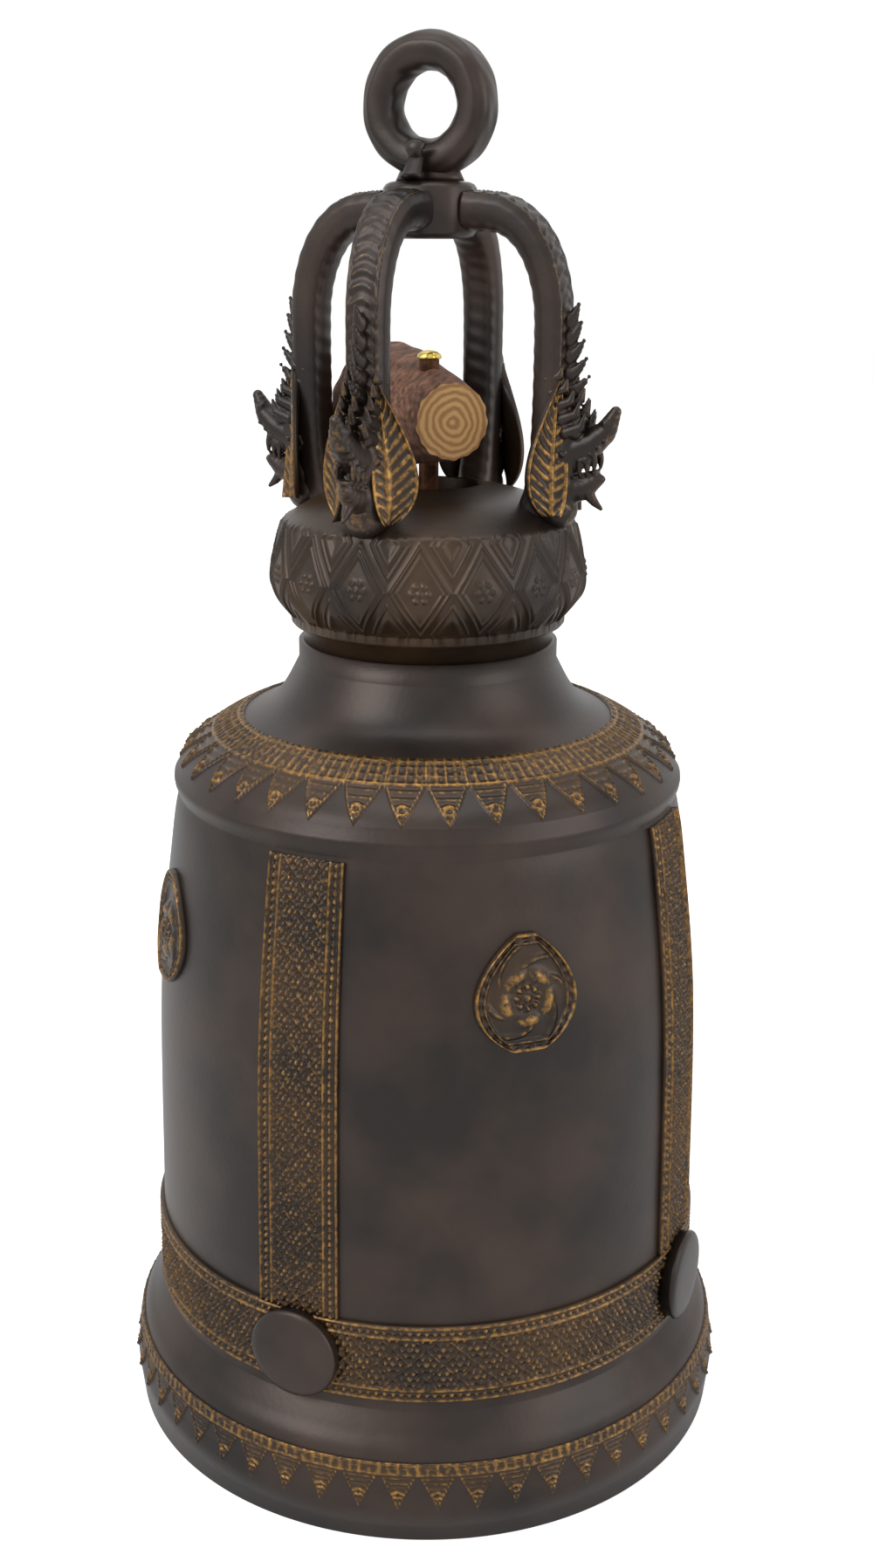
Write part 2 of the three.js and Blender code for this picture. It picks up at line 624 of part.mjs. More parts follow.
for (const [, turn] of SIDES) {
  const arm = solid(sweptArm().rotateZ(turn));
  for (const [dx, dy] of [[1, 0], [-1, 0], [0, 1], [0, -1]]) {
    log = log.subtract(arm.translate([dx * SEAT_GAP, dy * SEAT_GAP, 0]));
  }
}
add("log_crossbar", geometryOf(largest(log)), wood);

// Hanger rod through the log, with a round head on top and a clevis below
const LOG_LENGTH = LOG_FRONT_REACH + LOG_REAR_REACH;
const LOG_TOP = LOG_HEIGHT + SEAT_GAP + LOG_FRONT_RADIUS +
  ((LOG_REAR_RADIUS - LOG_FRONT_RADIUS) * (LOG_FRONT_REACH + RIVET_RADIUS)) / LOG_LENGTH;
const rod = turned([[0, PIVOT_HEIGHT + 10], [ROD_RADIUS, PIVOT_HEIGHT + 10], [ROD_RADIUS, LOG_TOP],
  [0, LOG_TOP]], 16);
const fork = new THREE.BoxGeometry(CLEVIS_WIDTH, CLEVIS_DEPTH, 26).translate(0, 0, PIVOT_HEIGHT + 3);
const slot = new THREE.BoxGeometry(CLEVIS_SLOT, CLEVIS_DEPTH + 2, 24).translate(0, 0, PIVOT_HEIGHT - 4);
const pinBore = new THREE.CylinderGeometry(PIN_RADIUS + SEAT_GAP, PIN_RADIUS + SEAT_GAP, 40, 16);
pinBore.rotateZ(Math.PI / 2).translate(0, 0, PIVOT_HEIGHT);
const hanger = solid(rod).add(solid(fork)).subtract(solid(slot)).subtract(solid(pinBore));
add("hanger_rod", geometryOf(hanger), iron);

const HEAD_SEAT = LOG_TOP + SEAT_GAP;
add(
  "hanger_rivet",
  closed(turned([[0, HEAD_SEAT], [RIVET_RADIUS, HEAD_SEAT], [RIVET_RADIUS - 1, HEAD_SEAT + 2.5],
    [RIVET_RADIUS - 3.5, HEAD_SEAT + 4.2], [0, HEAD_SEAT + 4.8]], 18)),
  brass,
);

// Clapper: pin, stem with an eye, and a ball bored for the stem
const pin = new THREE.CylinderGeometry(PIN_RADIUS, PIN_RADIUS, CLEVIS_WIDTH + 6, 16).rotateZ(Math.PI / 2);
add("clapper_pin", closed(pin.translate(0, 0, PIVOT_HEIGHT)), iron);

const BALL_HEIGHT = PIVOT_HEIGHT - STEM_LENGTH;
const stemRod = turned([
  [0, BALL_HEIGHT - BALL_RADIUS - 6],
  [8, BALL_HEIGHT - BALL_RADIUS - 5],
  [8, BALL_HEIGHT - BALL_RADIUS - SEAT_GAP],
  [STEM_RADIUS, BALL_HEIGHT - BALL_RADIUS - SEAT_GAP],
  [STEM_RADIUS, PIVOT_HEIGHT - 5],
  [0, PIVOT_HEIGHT - 5],
], 16);
const eye = new THREE.CylinderGeometry(7.5, 7.5, CLEVIS_SLOT - 2 * SLIDE_GAP, 20).rotateZ(Math.PI / 2);
eye.translate(0, 0, PIVOT_HEIGHT);
add("clapper_stem", geometryOf(solid(stemRod).add(solid(eye)).subtract(solid(pinBore.clone()))), iron);

const ballProfile = [];
const ballBore = STEM_RADIUS + SEAT_GAP;
for (let i = 0; i <= 8; i += 1) {
  const a = -Math.acos(ballBore / BALL_RADIUS) + (i / 8) * 2 * Math.acos(ballBore / BALL_RADIUS);
  ballProfile.push([BALL_RADIUS * Math.cos(a), BALL_HEIGHT + BALL_RADIUS * Math.sin(a)]);
}
add("clapper_ball", closed(turned(ballProfile, 20)), iron);

export default bell;
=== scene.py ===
# %% [markdown]
# A cast temple bell on its rim, with a lotus collar and a crown of four arched arms.
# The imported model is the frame: it says where each piece is. What is made here is the surface:
# the cast relief, the heads on the crown, the log, and the finish of each metal.
# Lengths are metres in Blender, and the sizes below are written in millimetres and turned once.

import math

import bmesh
import bpy
import numpy as np
from mathutils import Matrix, Vector


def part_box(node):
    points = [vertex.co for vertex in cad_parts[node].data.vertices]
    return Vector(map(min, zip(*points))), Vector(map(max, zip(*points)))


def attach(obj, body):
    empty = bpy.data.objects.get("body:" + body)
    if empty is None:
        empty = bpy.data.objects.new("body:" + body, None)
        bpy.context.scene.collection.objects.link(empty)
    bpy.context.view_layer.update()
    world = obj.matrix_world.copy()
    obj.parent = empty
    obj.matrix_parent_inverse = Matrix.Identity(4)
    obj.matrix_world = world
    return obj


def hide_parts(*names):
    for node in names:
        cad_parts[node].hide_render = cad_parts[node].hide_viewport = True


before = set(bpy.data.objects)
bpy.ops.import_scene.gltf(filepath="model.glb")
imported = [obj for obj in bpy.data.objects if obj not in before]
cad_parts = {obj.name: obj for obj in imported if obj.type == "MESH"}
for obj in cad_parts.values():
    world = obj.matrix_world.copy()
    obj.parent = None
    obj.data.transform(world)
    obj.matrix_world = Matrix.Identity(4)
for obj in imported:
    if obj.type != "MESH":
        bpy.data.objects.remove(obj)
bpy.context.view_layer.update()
MM = 0.001
TAU = 2 * math.pi
SIDE_TURNS = {"right": 0.0, "back": math.pi / 2, "left": math.pi, "front": -math.pi / 2}


# %% [markdown]
# Each material starts from the real metal or wood. One function writes a node with its settings
# and links, and one turns an sRGB hex value to the linear colour that the nodes want.

# %% Colour and node helpers
def linear(hex_colour):
    """The linear RGBA of an sRGB hex value such as 2b2523."""
    channels = [int(hex_colour[i : i + 2], 16) / 255 for i in (0, 2, 4)]
    return [c / 12.92 if c <= 0.04045 else ((c + 0.055) / 1.055) ** 2.4 for c in channels] + [1.0]


def node(tree, kind, links=None, **settings):
    """Adds a node; settings name a property or an input, links map an input to an output socket."""
    made = tree.nodes.new(kind)
    for key, value in settings.items():
        name = key.replace("_", " ").title() if key[0].islower() else key.replace("_", " ")
        if hasattr(made, key):
            setattr(made, key, value)
        else:
            made.inputs[name].default_value = value
    for key, socket in (links or {}).items():
        tree.links.new(socket, made.inputs[key])
    return made


def new_material(name):
    """A node material with its Principled shader and its output."""
    material = bpy.data.materials.new(name)
    material.use_nodes = True
    tree = material.node_tree
    return material, tree, tree.nodes["Principled BSDF"]


def ramp(tree, factor, stops):
    """A colour ramp through (place, colour) stops."""
    made = tree.nodes.new("ShaderNodeValToRGB")
    tree.links.new(factor, made.inputs["Fac"])
    while len(made.color_ramp.elements) < len(stops):
        made.color_ramp.elements.new(0.5)
    for element, (place, colour) in zip(made.color_ramp.elements, stops):
        element.position = place
        element.color = colour
    return made.outputs["Color"]


# %% [markdown]
# Bronze of this age is near black where hands do not reach, brown where the patina is thin, and
# golden on the tops that get rubbed. The meshes carry a value named rub, from 0 in a hollow to 1
# on a top, and the colour, roughness and metallic value all follow it, broken up by noise.

# %% Patinated cast bronze
PATINA_CLOUD_MM = 55
CAST_GRAIN_MM = 2.2


def patinated_bronze(name, dark, brown, gold, wear):
    """Cast bronze under a brown-black patina; wear is how readily the tops show metal."""
    material, tree, shader = new_material(name)
    place = node(tree, "ShaderNodeTexCoord").outputs["Object"]
    cloud = node(
        tree, "ShaderNodeTexNoise", {"Vector": place}, scale=1 / (PATINA_CLOUD_MM * MM), detail=5.0
    ).outputs["Fac"]
    grain = node(
        tree, "ShaderNodeTexNoise", {"Vector": place}, scale=1 / (CAST_GRAIN_MM * MM), detail=4.0
    ).outputs["Fac"]
    patina = ramp(tree, cloud, [(0.38, linear(dark)), (0.66, linear(brown))])
    rub = node(tree, "ShaderNodeAttribute", attribute_name="rub").outputs["Fac"]
    broken = node(tree, "ShaderNodeMath", {0: rub, 1: grain}, operation="MULTIPLY").outputs[0]
    shown = node(tree, "ShaderNodeMapRange", {"Value": broken})
    shown.inputs["From Min"].default_value = 0.30 / wear
    shown.inputs["From Max"].default_value = 0.62 / wear
    colour = node(tree, "ShaderNodeMix", data_type="RGBA")
    tree.links.new(shown.outputs["Result"], colour.inputs["Factor"])
    tree.links.new(patina, colour.inputs[6])
    colour.inputs[7].default_value = linear(gold)
    tree.links.new(colour.outputs[2], shader.inputs["Base Color"])
    dull = node(tree, "ShaderNodeMapRange", {"Value": cloud})
    dull.inputs["To Min"].default_value = 0.30
    dull.inputs["To Max"].default_value = 0.46
    tree.links.new(dull.outputs["Result"], shader.inputs["Roughness"])
    metal = node(tree, "ShaderNodeMapRange", {"Value": shown.outputs["Result"]})
    metal.inputs["To Min"].default_value = 0.45
    metal.inputs["To Max"].default_value = 0.85
    tree.links.new(metal.outputs["Result"], shader.inputs["Metallic"])
    bump = node(tree, "ShaderNodeBump", {"Height": grain}, strength=0.25, distance=0.3 * MM)
    tree.links.new(bump.outputs["Normal"], shader.inputs["Normal"])
    print("material:", name)
    return material


bronze = patinated_bronze("cast_bronze_dark_patina", "1f1916", "3b2e27", "8a6a3e", 0.75)
relief_bronze = patinated_bronze("cast_bronze_rubbed_relief", "241b15", "45321f", "9c743c", 1.0)


# %% [markdown]
# The log is a debarked branch: reddish brown along its length with a long grain, and a sawn end
# with growth rings. The mesh marks the end with a value named end and the distance from the pith
# with a value named pith, so one material serves both.

# %% Wood, iron and brass
GROWTH_RING_MM = 3.1


def branch_wood():
    """Weathered branch with a sawn end."""
    material, tree, shader = new_material("weathered_branch_wood")
    place = node(tree, "ShaderNodeTexCoord").outputs["Object"]
    streak_space = node(tree, "ShaderNodeMapping", {"Vector": place})
    streak_space.inputs["Rotation"].default_value = (0, 0, math.radians(-45))
    streak_space.inputs["Scale"].default_value = (1.0, 0.12, 1.0)
    streak = node(
        tree, "ShaderNodeTexNoise", {"Vector": streak_space.outputs["Vector"]}, scale=420.0, detail=5.0
    ).outputs["Fac"]
    bark = ramp(tree, streak, [(0.32, linear("3c2519")), (0.55, linear("6f4a37")), (0.8, linear("96705a"))])
    pith = node(tree, "ShaderNodeAttribute", attribute_name="pith").outputs["Fac"]
    wobble = node(tree, "ShaderNodeTexNoise", {"Vector": place}, scale=70.0, detail=4.0).outputs["Fac"]
    shifted = node(tree, "ShaderNodeMath", {0: wobble, 2: pith}, operation="MULTIPLY_ADD")
    shifted.inputs[1].default_value = 7.0 * MM
    waves = node(tree, "ShaderNodeMath", {0: shifted.outputs[0]}, operation="MULTIPLY")
    waves.inputs[1].default_value = TAU / (GROWTH_RING_MM * MM)
    rings = node(tree, "ShaderNodeMath", {0: waves.outputs[0]}, operation="SINE").outputs[0]
    rings_unit = node(tree, "ShaderNodeMapRange", {"Value": rings})
    rings_unit.inputs["From Min"].default_value = -1.0
    grain = ramp(tree, rings_unit.outputs["Result"], [(0.1, linear("8a6238")), (0.9, linear("b08a58"))])
    end = node(tree, "ShaderNodeAttribute", attribute_name="end").outputs["Fac"]
    colour = node(tree, "ShaderNodeMix", data_type="RGBA")
    tree.links.new(end, colour.inputs["Factor"])
    tree.links.new(bark, colour.inputs[6])
    tree.links.new(grain, colour.inputs[7])
    tree.links.new(colour.outputs[2], shader.inputs["Base Color"])
    shader.inputs["Roughness"].default_value = 0.8
    bump = node(tree, "ShaderNodeBump", {"Height": streak}, strength=0.5, distance=0.6 * MM)
    tree.links.new(bump.outputs["Normal"], shader.inputs["Normal"])
    return material


def plain_metal(name, low, high, roughness, cloud_mm):
    """Iron or brass: a metal whose colour drifts between two values."""
    material, tree, shader = new_material(name)
    place = node(tree, "ShaderNodeTexCoord").outputs["Object"]
    cloud = node(
        tree, "ShaderNodeTexNoise", {"Vector": place}, scale=1 / (cloud_mm * MM), detail=5.0
    ).outputs["Fac"]
    tree.links.new(ramp(tree, cloud, [(0.35, linear(low)), (0.65, linear(high))]), shader.inputs["Base Color"])
    shader.inputs["Metallic"].default_value = 0.9
    shader.inputs["Roughness"].default_value = roughness
    bump = node(tree, "ShaderNodeBump", {"Height": cloud}, strength=0.3, distance=0.3 * MM)
    tree.links.new(bump.outputs["Normal"], shader.inputs["Normal"])
    return material


branch = branch_wood()
rusty_iron = plain_metal("forged_iron_brown_rust", "3a2418", "6a4632", 0.62, 5)
bright_brass = plain_metal("bright_worn_brass", "c9a83e", "f0dc80", 0.28, 3)
print("wood, iron and brass ready")


# %% [markdown]
# The bell is a surface of revolution, so its outline is drawn once and turned. The outline goes
# through a few stations, with a smooth curve between them, exactly as the casting's own template
# would be cut.

# %% The outline
LIP_RADIUS, RIM_RADIUS, LIP_HEIGHT = 138.4, 136.5, 18
FOOT_RADIUS, FOOT_HEIGHT = 123.5, 54
WAIST_TOP_RADIUS, WAIST_TOP_HEIGHT = 113, 274
RIDGE_RADIUS, RIDGE_HEIGHT = 110, 303
SHOULDER_HEIGHT, NECK_RADIUS, NECK_HEIGHT = 340, 56, 358
NECK_INNER_RADIUS, WALL, LIP_WALL = 40, 8, 13


def through(stations, count):
    """Points of a Catmull-Rom curve through the stations."""
    stations = np.array(stations, float)
    last = len(stations) - 1
    points = []
    for step in range(count + 1):
        place = last * step / count
        i = min(int(place), last - 1)
        t = place - i
        a, b, c, d = (stations[min(max(i + k, 0), last)] for k in (-1, 0, 1, 2))
        out, back = 0.5 * (c - a), 0.5 * (d - b)
        points.append(
            (2 * b - 2 * c + out + back) * t**3 + (-3 * b + 3 * c - 2 * out - back) * t**2 + out * t + b
        )
    return [tuple(p) for p in points]


outer = [(RIM_RADIUS, 0), (LIP_RADIUS - 0.3, LIP_HEIGHT - 4), (LIP_RADIUS, LIP_HEIGHT)]
outer += through(
    [
        (LIP_RADIUS - 1.5, LIP_HEIGHT + 4),
        (LIP_RADIUS - 4, 38),
        (FOOT_RADIUS + 5.5, FOOT_HEIGHT - 7.5),
        (FOOT_RADIUS, FOOT_HEIGHT),
    ],
    28,
)
outer += through(
    [
        (FOOT_RADIUS, FOOT_HEIGHT + 4),
        (123, 112),
        (120.5, 206),
        (WAIST_TOP_RADIUS, WAIST_TOP_HEIGHT),
        (RIDGE_RADIUS - 0.5, RIDGE_HEIGHT - 10),
    ],
    60,
)
ridge = [(RIDGE_RADIUS + 1.2, RIDGE_HEIGHT - 6), (RIDGE_RADIUS + 1.5, RIDGE_HEIGHT - 4)]
ridge += [(RIDGE_RADIUS + 1.3, RIDGE_HEIGHT - 2), (RIDGE_RADIUS - 0.8, RIDGE_HEIGHT)]
shoulder = through(
    [
        (RIDGE_RADIUS - 1, RIDGE_HEIGHT + 3),
        (103, 312.5),
        (87, 322.5),
        (67, SHOULDER_HEIGHT - 7.5),
        (NECK_RADIUS, NECK_HEIGHT - 8),
    ],
    50,
)
shoulder += [(NECK_RADIUS, NECK_HEIGHT)]
inner = [(NECK_INNER_RADIUS, NECK_HEIGHT), (NECK_INNER_RADIUS, SHOULDER_HEIGHT - WALL)]
inner += through(
    [
        (60, SHOULDER_HEIGHT - 1.7 * WALL),
        (82, 316.5),
        (RIDGE_RADIUS - WALL - 3, RIDGE_HEIGHT - 2),
        (WAIST_TOP_RADIUS - WALL, WAIST_TOP_HEIGHT - 8),
        (FOOT_RADIUS - WALL, 112),
        (FOOT_RADIUS - WALL, FOOT_HEIGHT + 6),
    ],
    40,
)
inner += [(LIP_RADIUS - LIP_WALL - 5, 34), (RIM_RADIUS - LIP_WALL, 0)]
smooth_line = np.array(outer + shoulder)
print("outline points:", len(outer) + len(ridge) + len(shoulder) + len(inner))


# %% [markdown]
# Three small tools make nearly every mesh: one writes a mesh object from arrays, one turns an
# outline, and one wraps a thin plate of relief on the bell's outside. The plate's back lies inside
# the wall, so no edge can lift, and its front stands out by a height given as a function.

# %% Mesh tools
def mesh_object(name, points_mm, faces, material, rub=None, smooth=True, extra=None):
    """A mesh object from points in millimetres, with its values of rub on the points."""
    mesh = bpy.data.meshes.new(name)
    mesh.from_pydata((np.asarray(points_mm, float) * MM).tolist(), [], faces)
    for key, values in {"rub": rub, **(extra or {})}.items():
        if values is not None:
            mesh.attributes.new(key, "FLOAT", "POINT").data.foreach_set(
                "value", np.asarray(values, np.float32).ravel()
            )
    mesh.materials.append(material)
    mesh.validate()
    work = bmesh.new()
    work.from_mesh(mesh)
    bmesh.ops.recalc_face_normals(work, faces=work.faces)
    work.to_mesh(mesh)
    work.free()
    mesh.polygons.foreach_set("use_smooth", [smooth] * len(mesh.polygons))
    made = bpy.data.objects.new(name, mesh)
    bpy.context.scene.collection.objects.link(made)
    return made


def grid_faces(columns, rows, start=0, loop=False):
    """Quads of a grid whose points run down each column."""
    faces = []
    for i in range(columns if loop else columns - 1):
        a, b = start + i * rows, start + ((i + 1) % columns) * rows
        faces += [(a + j, b + j, b + j + 1, a + j + 1) for j in range(rows - 1)]
    return faces


def turned(name, outline, segments, material, rub=0.0, wobble=None):
    """An outline of (radius, height), a closed loop or one that ends on the axis, turned about Z."""
    closed_loop = outline[0][0] > 0
    line = list(outline) + ([outline[0]] if closed_loop else [])
    radius, height = np.array(line).T
    angles = np.arange(segments) * TAU / segments
    r = np.broadcast_to(radius, (segments, len(line))).copy()
    if wobble is not None:
        r += wobble(angles[:, None], height[None, :], radius[None, :])
    points = np.stack([r * np.cos(angles)[:, None], r * np.sin(angles)[:, None],
                       np.broadcast_to(height, r.shape)], -1).reshape(-1, 3)
    made = mesh_object(name, points, grid_faces(segments, len(line), loop=True), material,
                       np.full(len(points), rub))
    weld(made)
    return made


def weld(made):
    """Joins points that share a place."""
    work = bmesh.new()
    work.from_mesh(made.data)
    bmesh.ops.remove_doubles(work, verts=work.verts, dist=0.01 * MM)
    bmesh.ops.recalc_face_normals(work, faces=work.faces)
    work.to_mesh(made.data)
    work.free()


def surface(z):
    """Radius and outward direction (dr, dz) of the bell's outside at heights z."""
    radius = np.interp(z, smooth_line[:, 1], smooth_line[:, 0])
    slope = np.interp(z + 1, smooth_line[:, 1], smooth_line[:, 0]) - np.interp(
        z - 1, smooth_line[:, 1], smooth_line[:, 0]
    )
    length = np.hypot(2.0, slope)
    return radius, 2.0 / length, -slope / length


PLATE_ROOT = 2.0


def wrapped(name, columns, rows, place, height, material, top, loop=False):
    """Relief on the bell: place(u, v) gives angle and z, height(u, v) millimetres above the wall."""
    u, v = np.meshgrid(
        np.arange(columns) / (columns if loop else columns - 1), np.linspace(0, 1, rows), indexing="ij"
    )
    angle, z = place(u, v)
    radius, out_r, out_z = surface(z)
    up = height(u, v)
    layers = []
    for lift in (up, np.full_like(up, -PLATE_ROOT)):
        r = radius + out_r * lift
        layers.append(np.stack([r * np.cos(angle), r * np.sin(angle), z + out_z * lift], -1).reshape(-1, 3))
    count = columns * rows
    faces = grid_faces(columns, rows, 0, loop) + grid_faces(columns, rows, count, loop)
    for i in range(columns if loop else columns - 1):
        a, b = i * rows, ((i + 1) % columns) * rows
        faces.append((a, b, b + count, a + count))
        faces.append((a + rows - 1, b + rows - 1, b + rows - 1 + count, a + rows - 1 + count))
    if not loop:
        last = (columns - 1) * rows
        for j in range(rows - 1):
            faces.append((j, j + 1, j + 1 + count, j + count))
            faces.append((last + j, last + j + 1, last + j + 1 + count, last + j + count))
    rub = np.clip(up / top, 0, 1).reshape(-1)
    return mesh_object(name, np.concatenate(layers), faces, material, np.concatenate([rub, 0 * rub]))


def dress(made, body, slot, *nodes):
    """Lets a piece ride on a body and stand for its nodes; the slot argument is not used."""
    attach(made, body)
    if nodes:
        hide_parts(*nodes)
    print(made.name, len(made.data.vertices), "points for", ", ".join(nodes) or "no node")


# %% [markdown]
# The bell itself: a turned shell, smooth inside and out, with the ridge under the shoulder.

# %% Bell shell
BELL_SEGMENTS = 256
shell = turned("bell_shell", outer + ridge + shoulder + inner, BELL_SEGMENTS, bronze, rub=0.25)
dress(shell, "bell", "bronze", "bell_body")


# %% [markdown]
# Cast relief is made of a few shapes that repeat: ridges, beads and rosettes. Each is a smooth
# bump as a function of a distance in millimetres, so it keeps its size wherever it is used.

# %% Shapes of relief
def bump(distance, width):
    """A rounded ridge of height 1, width across at its foot about twice the width given."""
    return np.exp(-((distance / width) ** 2))


def inside(value, edge):
    """1 well inside (value > 0), 0 outside, with a soft edge."""
    t = np.clip(value / edge + 0.5, 0, 1)
    return t * t * (3 - 2 * t)


def rosette(x, y, size, petals):
    """A small flower of a button in a ring of petals."""
    rho, phi = np.hypot(x, y), np.arctan2(y, x)
    ring = bump(rho - 0.62 * size, 0.2 * size) * (0.55 + 0.45 * np.cos(petals * phi))
    return np.maximum(bump(rho, 0.28 * size), ring)


def nearest(value, pitch):
    """Signed distance to the nearest multiple of a pitch."""
    return value - pitch * np.round(value / pitch)


# %% [markdown]
# Rows of pendants hang under the shoulder and round the lip. Each is a triangle with a raised
# border, fine cross lines and a small ring near its tip.

# %% Pendant rows
def pendant_row(name, count, top_z, drop_z, belt, relief, columns_each):
    """A ring of triangles that point down, below a belt with two beads."""
    middle = (top_z + drop_z) / 2
    pitch = TAU * float(surface(np.array(middle))[0]) / count
    run = top_z - drop_z

    def place(u, v):
        return TAU * u, top_z - run * v

    def height(u, v):
        x = nearest(u * count, 1.0) * pitch
        down = run * v
        tip = np.clip((down - belt) / (run - belt), 0, 1)
        edge = 0.5 * pitch * (1 - tip) * 0.96 - np.abs(x)
        body = inside(edge, 0.9)
        border = bump(edge - 0.9, 0.45)
        lines = 0.35 * bump(nearest(down, 2.2), 0.5) * inside(edge - 1.8, 0.6)
        eyelet = bump(np.hypot(x, down - belt - 0.55 * (run - belt)) - 1.5, 0.5)
        leaf = (0.45 + lines + 0.55 * np.maximum(border, eyelet)) * body * relief
        strip = inside(belt - down, 0.8) * (0.5 + 0.5 * bump(nearest(x, pitch / 4), 0.8)) * relief
        rails = np.maximum(bump(down - 0.8, 0.6), bump(down - belt + 0.6, 0.6)) * relief
        return np.maximum(np.maximum(leaf, strip), rails) - 0.35

    made = wrapped(name, count * columns_each, 44, place, height, relief_bronze, relief - 0.35, loop=True)
    return made


dress(pendant_row("shoulder_pendant_row", 36, 325.5, 306, 7.5, 1.7, 22), "bell", "relief_bronze",
      "shoulder_pendants")
dress(pendant_row("lip_pendant_row", 52, 36.5, 16, 5.5, 1.6, 18), "bell", "relief_bronze", "lip_pendants")


# %% [markdown]
# Four upright bands and one level band divide the waist. All carry the same lattice with a rosette
# in each cell, between rails with a row of beads.

# %% Bands
def lattice(x, y, pitch):
    """A diamond lattice with a rosette in each cell."""
    across, along = (x + y) / pitch, (x - y) / pitch
    lines = np.maximum(bump(nearest(across + 0.5, 1.0) * pitch, 0.8), bump(nearest(along + 0.5, 1.0) * pitch, 0.8))
    a, b = nearest(across, 1.0), nearest(along, 1.0)
    flower = rosette((a + b) * pitch / 2, (a - b) * pitch / 2, 0.36 * pitch, 6)
    return np.maximum(0.75 * lines, flower)


BAND_HALF_ANGLE = 0.15
BAND_FOOT, BAND_TOP = 95.3, 291
for side, turn in SIDE_TURNS.items():

    def place(u, v, turn=turn):
        return turn + BAND_HALF_ANGLE * (2 * u - 1), BAND_FOOT + (BAND_TOP - BAND_FOOT) * v

    def height(u, v):
        x = 17.5 * (2 * u - 1)
        y = (BAND_TOP - BAND_FOOT) * v
        rails = np.maximum(bump(np.abs(x) - 16.8, 0.7), bump(np.abs(x) - 11.6, 0.8))
        beads = bump(np.hypot(nearest(y, 3.4), np.abs(x) - 14.2), 1.25)
        field = lattice(x, y, 11.2) * inside(11 - np.abs(x), 1.0)
        return 0.6 + 2.0 * np.maximum(np.maximum(rails, beads), field)

    band = wrapped("lattice_band_" + side, 60, 260, place, height, relief_bronze, 2.6)
    dress(band, "bell", "relief_bronze", "waist_band_" + side)

LEVEL_FOOT, LEVEL_TOP = 59, 95


def level_place(u, v):
    return TAU * u, LEVEL_FOOT + (LEVEL_TOP - LEVEL_FOOT) * v


def level_height(u, v):
    x = u * TAU * 123.5
    y = (LEVEL_TOP - LEVEL_FOOT) * (v - 0.5)
    cells = 56
    pitch = TAU * 123.5 / cells
    rails = np.maximum(bump(np.abs(y) - 17.0, 0.8), bump(np.abs(y) - 12.4, 0.8))
    beads = bump(np.hypot(nearest(x, pitch / 4), np.abs(y) - 14.7), 1.2)
    field = lattice(x, y, pitch) * inside(11.8 - np.abs(y), 1.0)
    return 0.5 + 2.0 * np.maximum(np.maximum(rails, beads), field)


level_band = wrapped("lower_relief_band", 1008, 56, level_place, level_height, relief_bronze, 2.5, loop=True)
dress(level_band, "bell", "relief_bronze", "lower_band")


# %% [markdown]
# In each panel sits a drop-shaped medallion: a raised double border round a flower. Where an
# upright band meets the lower band, a plain disc takes the blow of the striker.

# %% Medallions and bosses
MEDALLION_CENTRE, MEDALLION_HEIGHT, MEDALLION_WIDTH = 239, 49, 46
CORNERS = ["right_back", "back_left", "left_front", "front_right"]
for i, corner in enumerate(CORNERS):
    middle = math.pi / 4 + i * math.pi / 2

    def drop_width(v):
        return np.sin(np.pi * (0.02 + 0.96 * v)) ** 0.6 * (1.12 - 0.35 * v)

    def place(u, v, middle=middle):
        across = MEDALLION_WIDTH / 2 * drop_width(v) * (2 * u - 1)
        return middle + across / 118, MEDALLION_CENTRE + MEDALLION_HEIGHT * (v - 0.5)

    def height(u, v):
        x = MEDALLION_WIDTH / 2 * drop_width(v) * (2 * u - 1)
        y = MEDALLION_HEIGHT * (v - 0.46)
        rim = np.minimum(MEDALLION_WIDTH / 2 * drop_width(v) * (1 - np.abs(2 * u - 1)), MEDALLION_HEIGHT * np.minimum(v, 1 - v))
        border = np.maximum(bump(rim - 1.2, 0.9), 0.7 * bump(rim - 4.4, 0.7))
        beads = 0.6 * bump(rim - 2.9, 0.8) * (0.5 + 0.5 * np.cos(26 * np.arctan2(y, x)))
        rho, phi = np.hypot(x, y), np.arctan2(y, x)
        petals = np.maximum(
            bump(rho - 9.5, 2.6) * (0.35 + 0.65 * np.abs(np.cos(2.5 * phi + np.pi / 4))),
            bump(rho - 4.4, 1.3) * (0.5 + 0.5 * np.cos(8 * phi)),
        )
        leaves = 0.6 * bump(np.sin(3 * phi + 0.35 * rho) * 3, 1.2) * inside(rho - 12, 2)
        centre = bump(rho, 1.8)
        field = np.maximum(np.maximum(petals, centre), leaves) * inside(rim - 5.6, 1.2)
        return 0.7 + 2.2 * np.maximum(np.maximum(border, beads), field)

    medallion = wrapped("flower_medallion_" + corner, 96, 100, place, height, relief_bronze, 2.9)
    dress(medallion, "bell", "relief_bronze", "medallion_" + corner)

BOSS_CENTRE, BOSS_RADIUS, BOSS_STAND = 77, 20, 4
for side, turn in SIDE_TURNS.items():
    outline = [(0, -3), (BOSS_RADIUS - 0.8, -3), (BOSS_RADIUS - 0.8, 0.6), (BOSS_RADIUS, 1.6)]
    outline += [(BOSS_RADIUS - 0.3, 2.6), (BOSS_RADIUS - 1.2, 3.4), (BOSS_RADIUS - 4, BOSS_STAND)]
    outline += [(BOSS_RADIUS * 0.5, BOSS_STAND + 0.3), (0, BOSS_STAND + 0.6)]
    boss = turned("striking_disc_" + side, outline, 72, bronze, rub=0.55)
    seat = float(surface(np.array(float(BOSS_CENTRE)))[0]) + 3.6
    move = Matrix.Rotation(turn, 4, "Z") @ Matrix.Translation((seat * MM, 0, BOSS_CENTRE * MM))
    boss.data.transform(move @ Matrix.Rotation(math.pi / 2, 4, "Y"))
    dress(boss, "bell", "relief_bronze", "strike_boss_" + side)


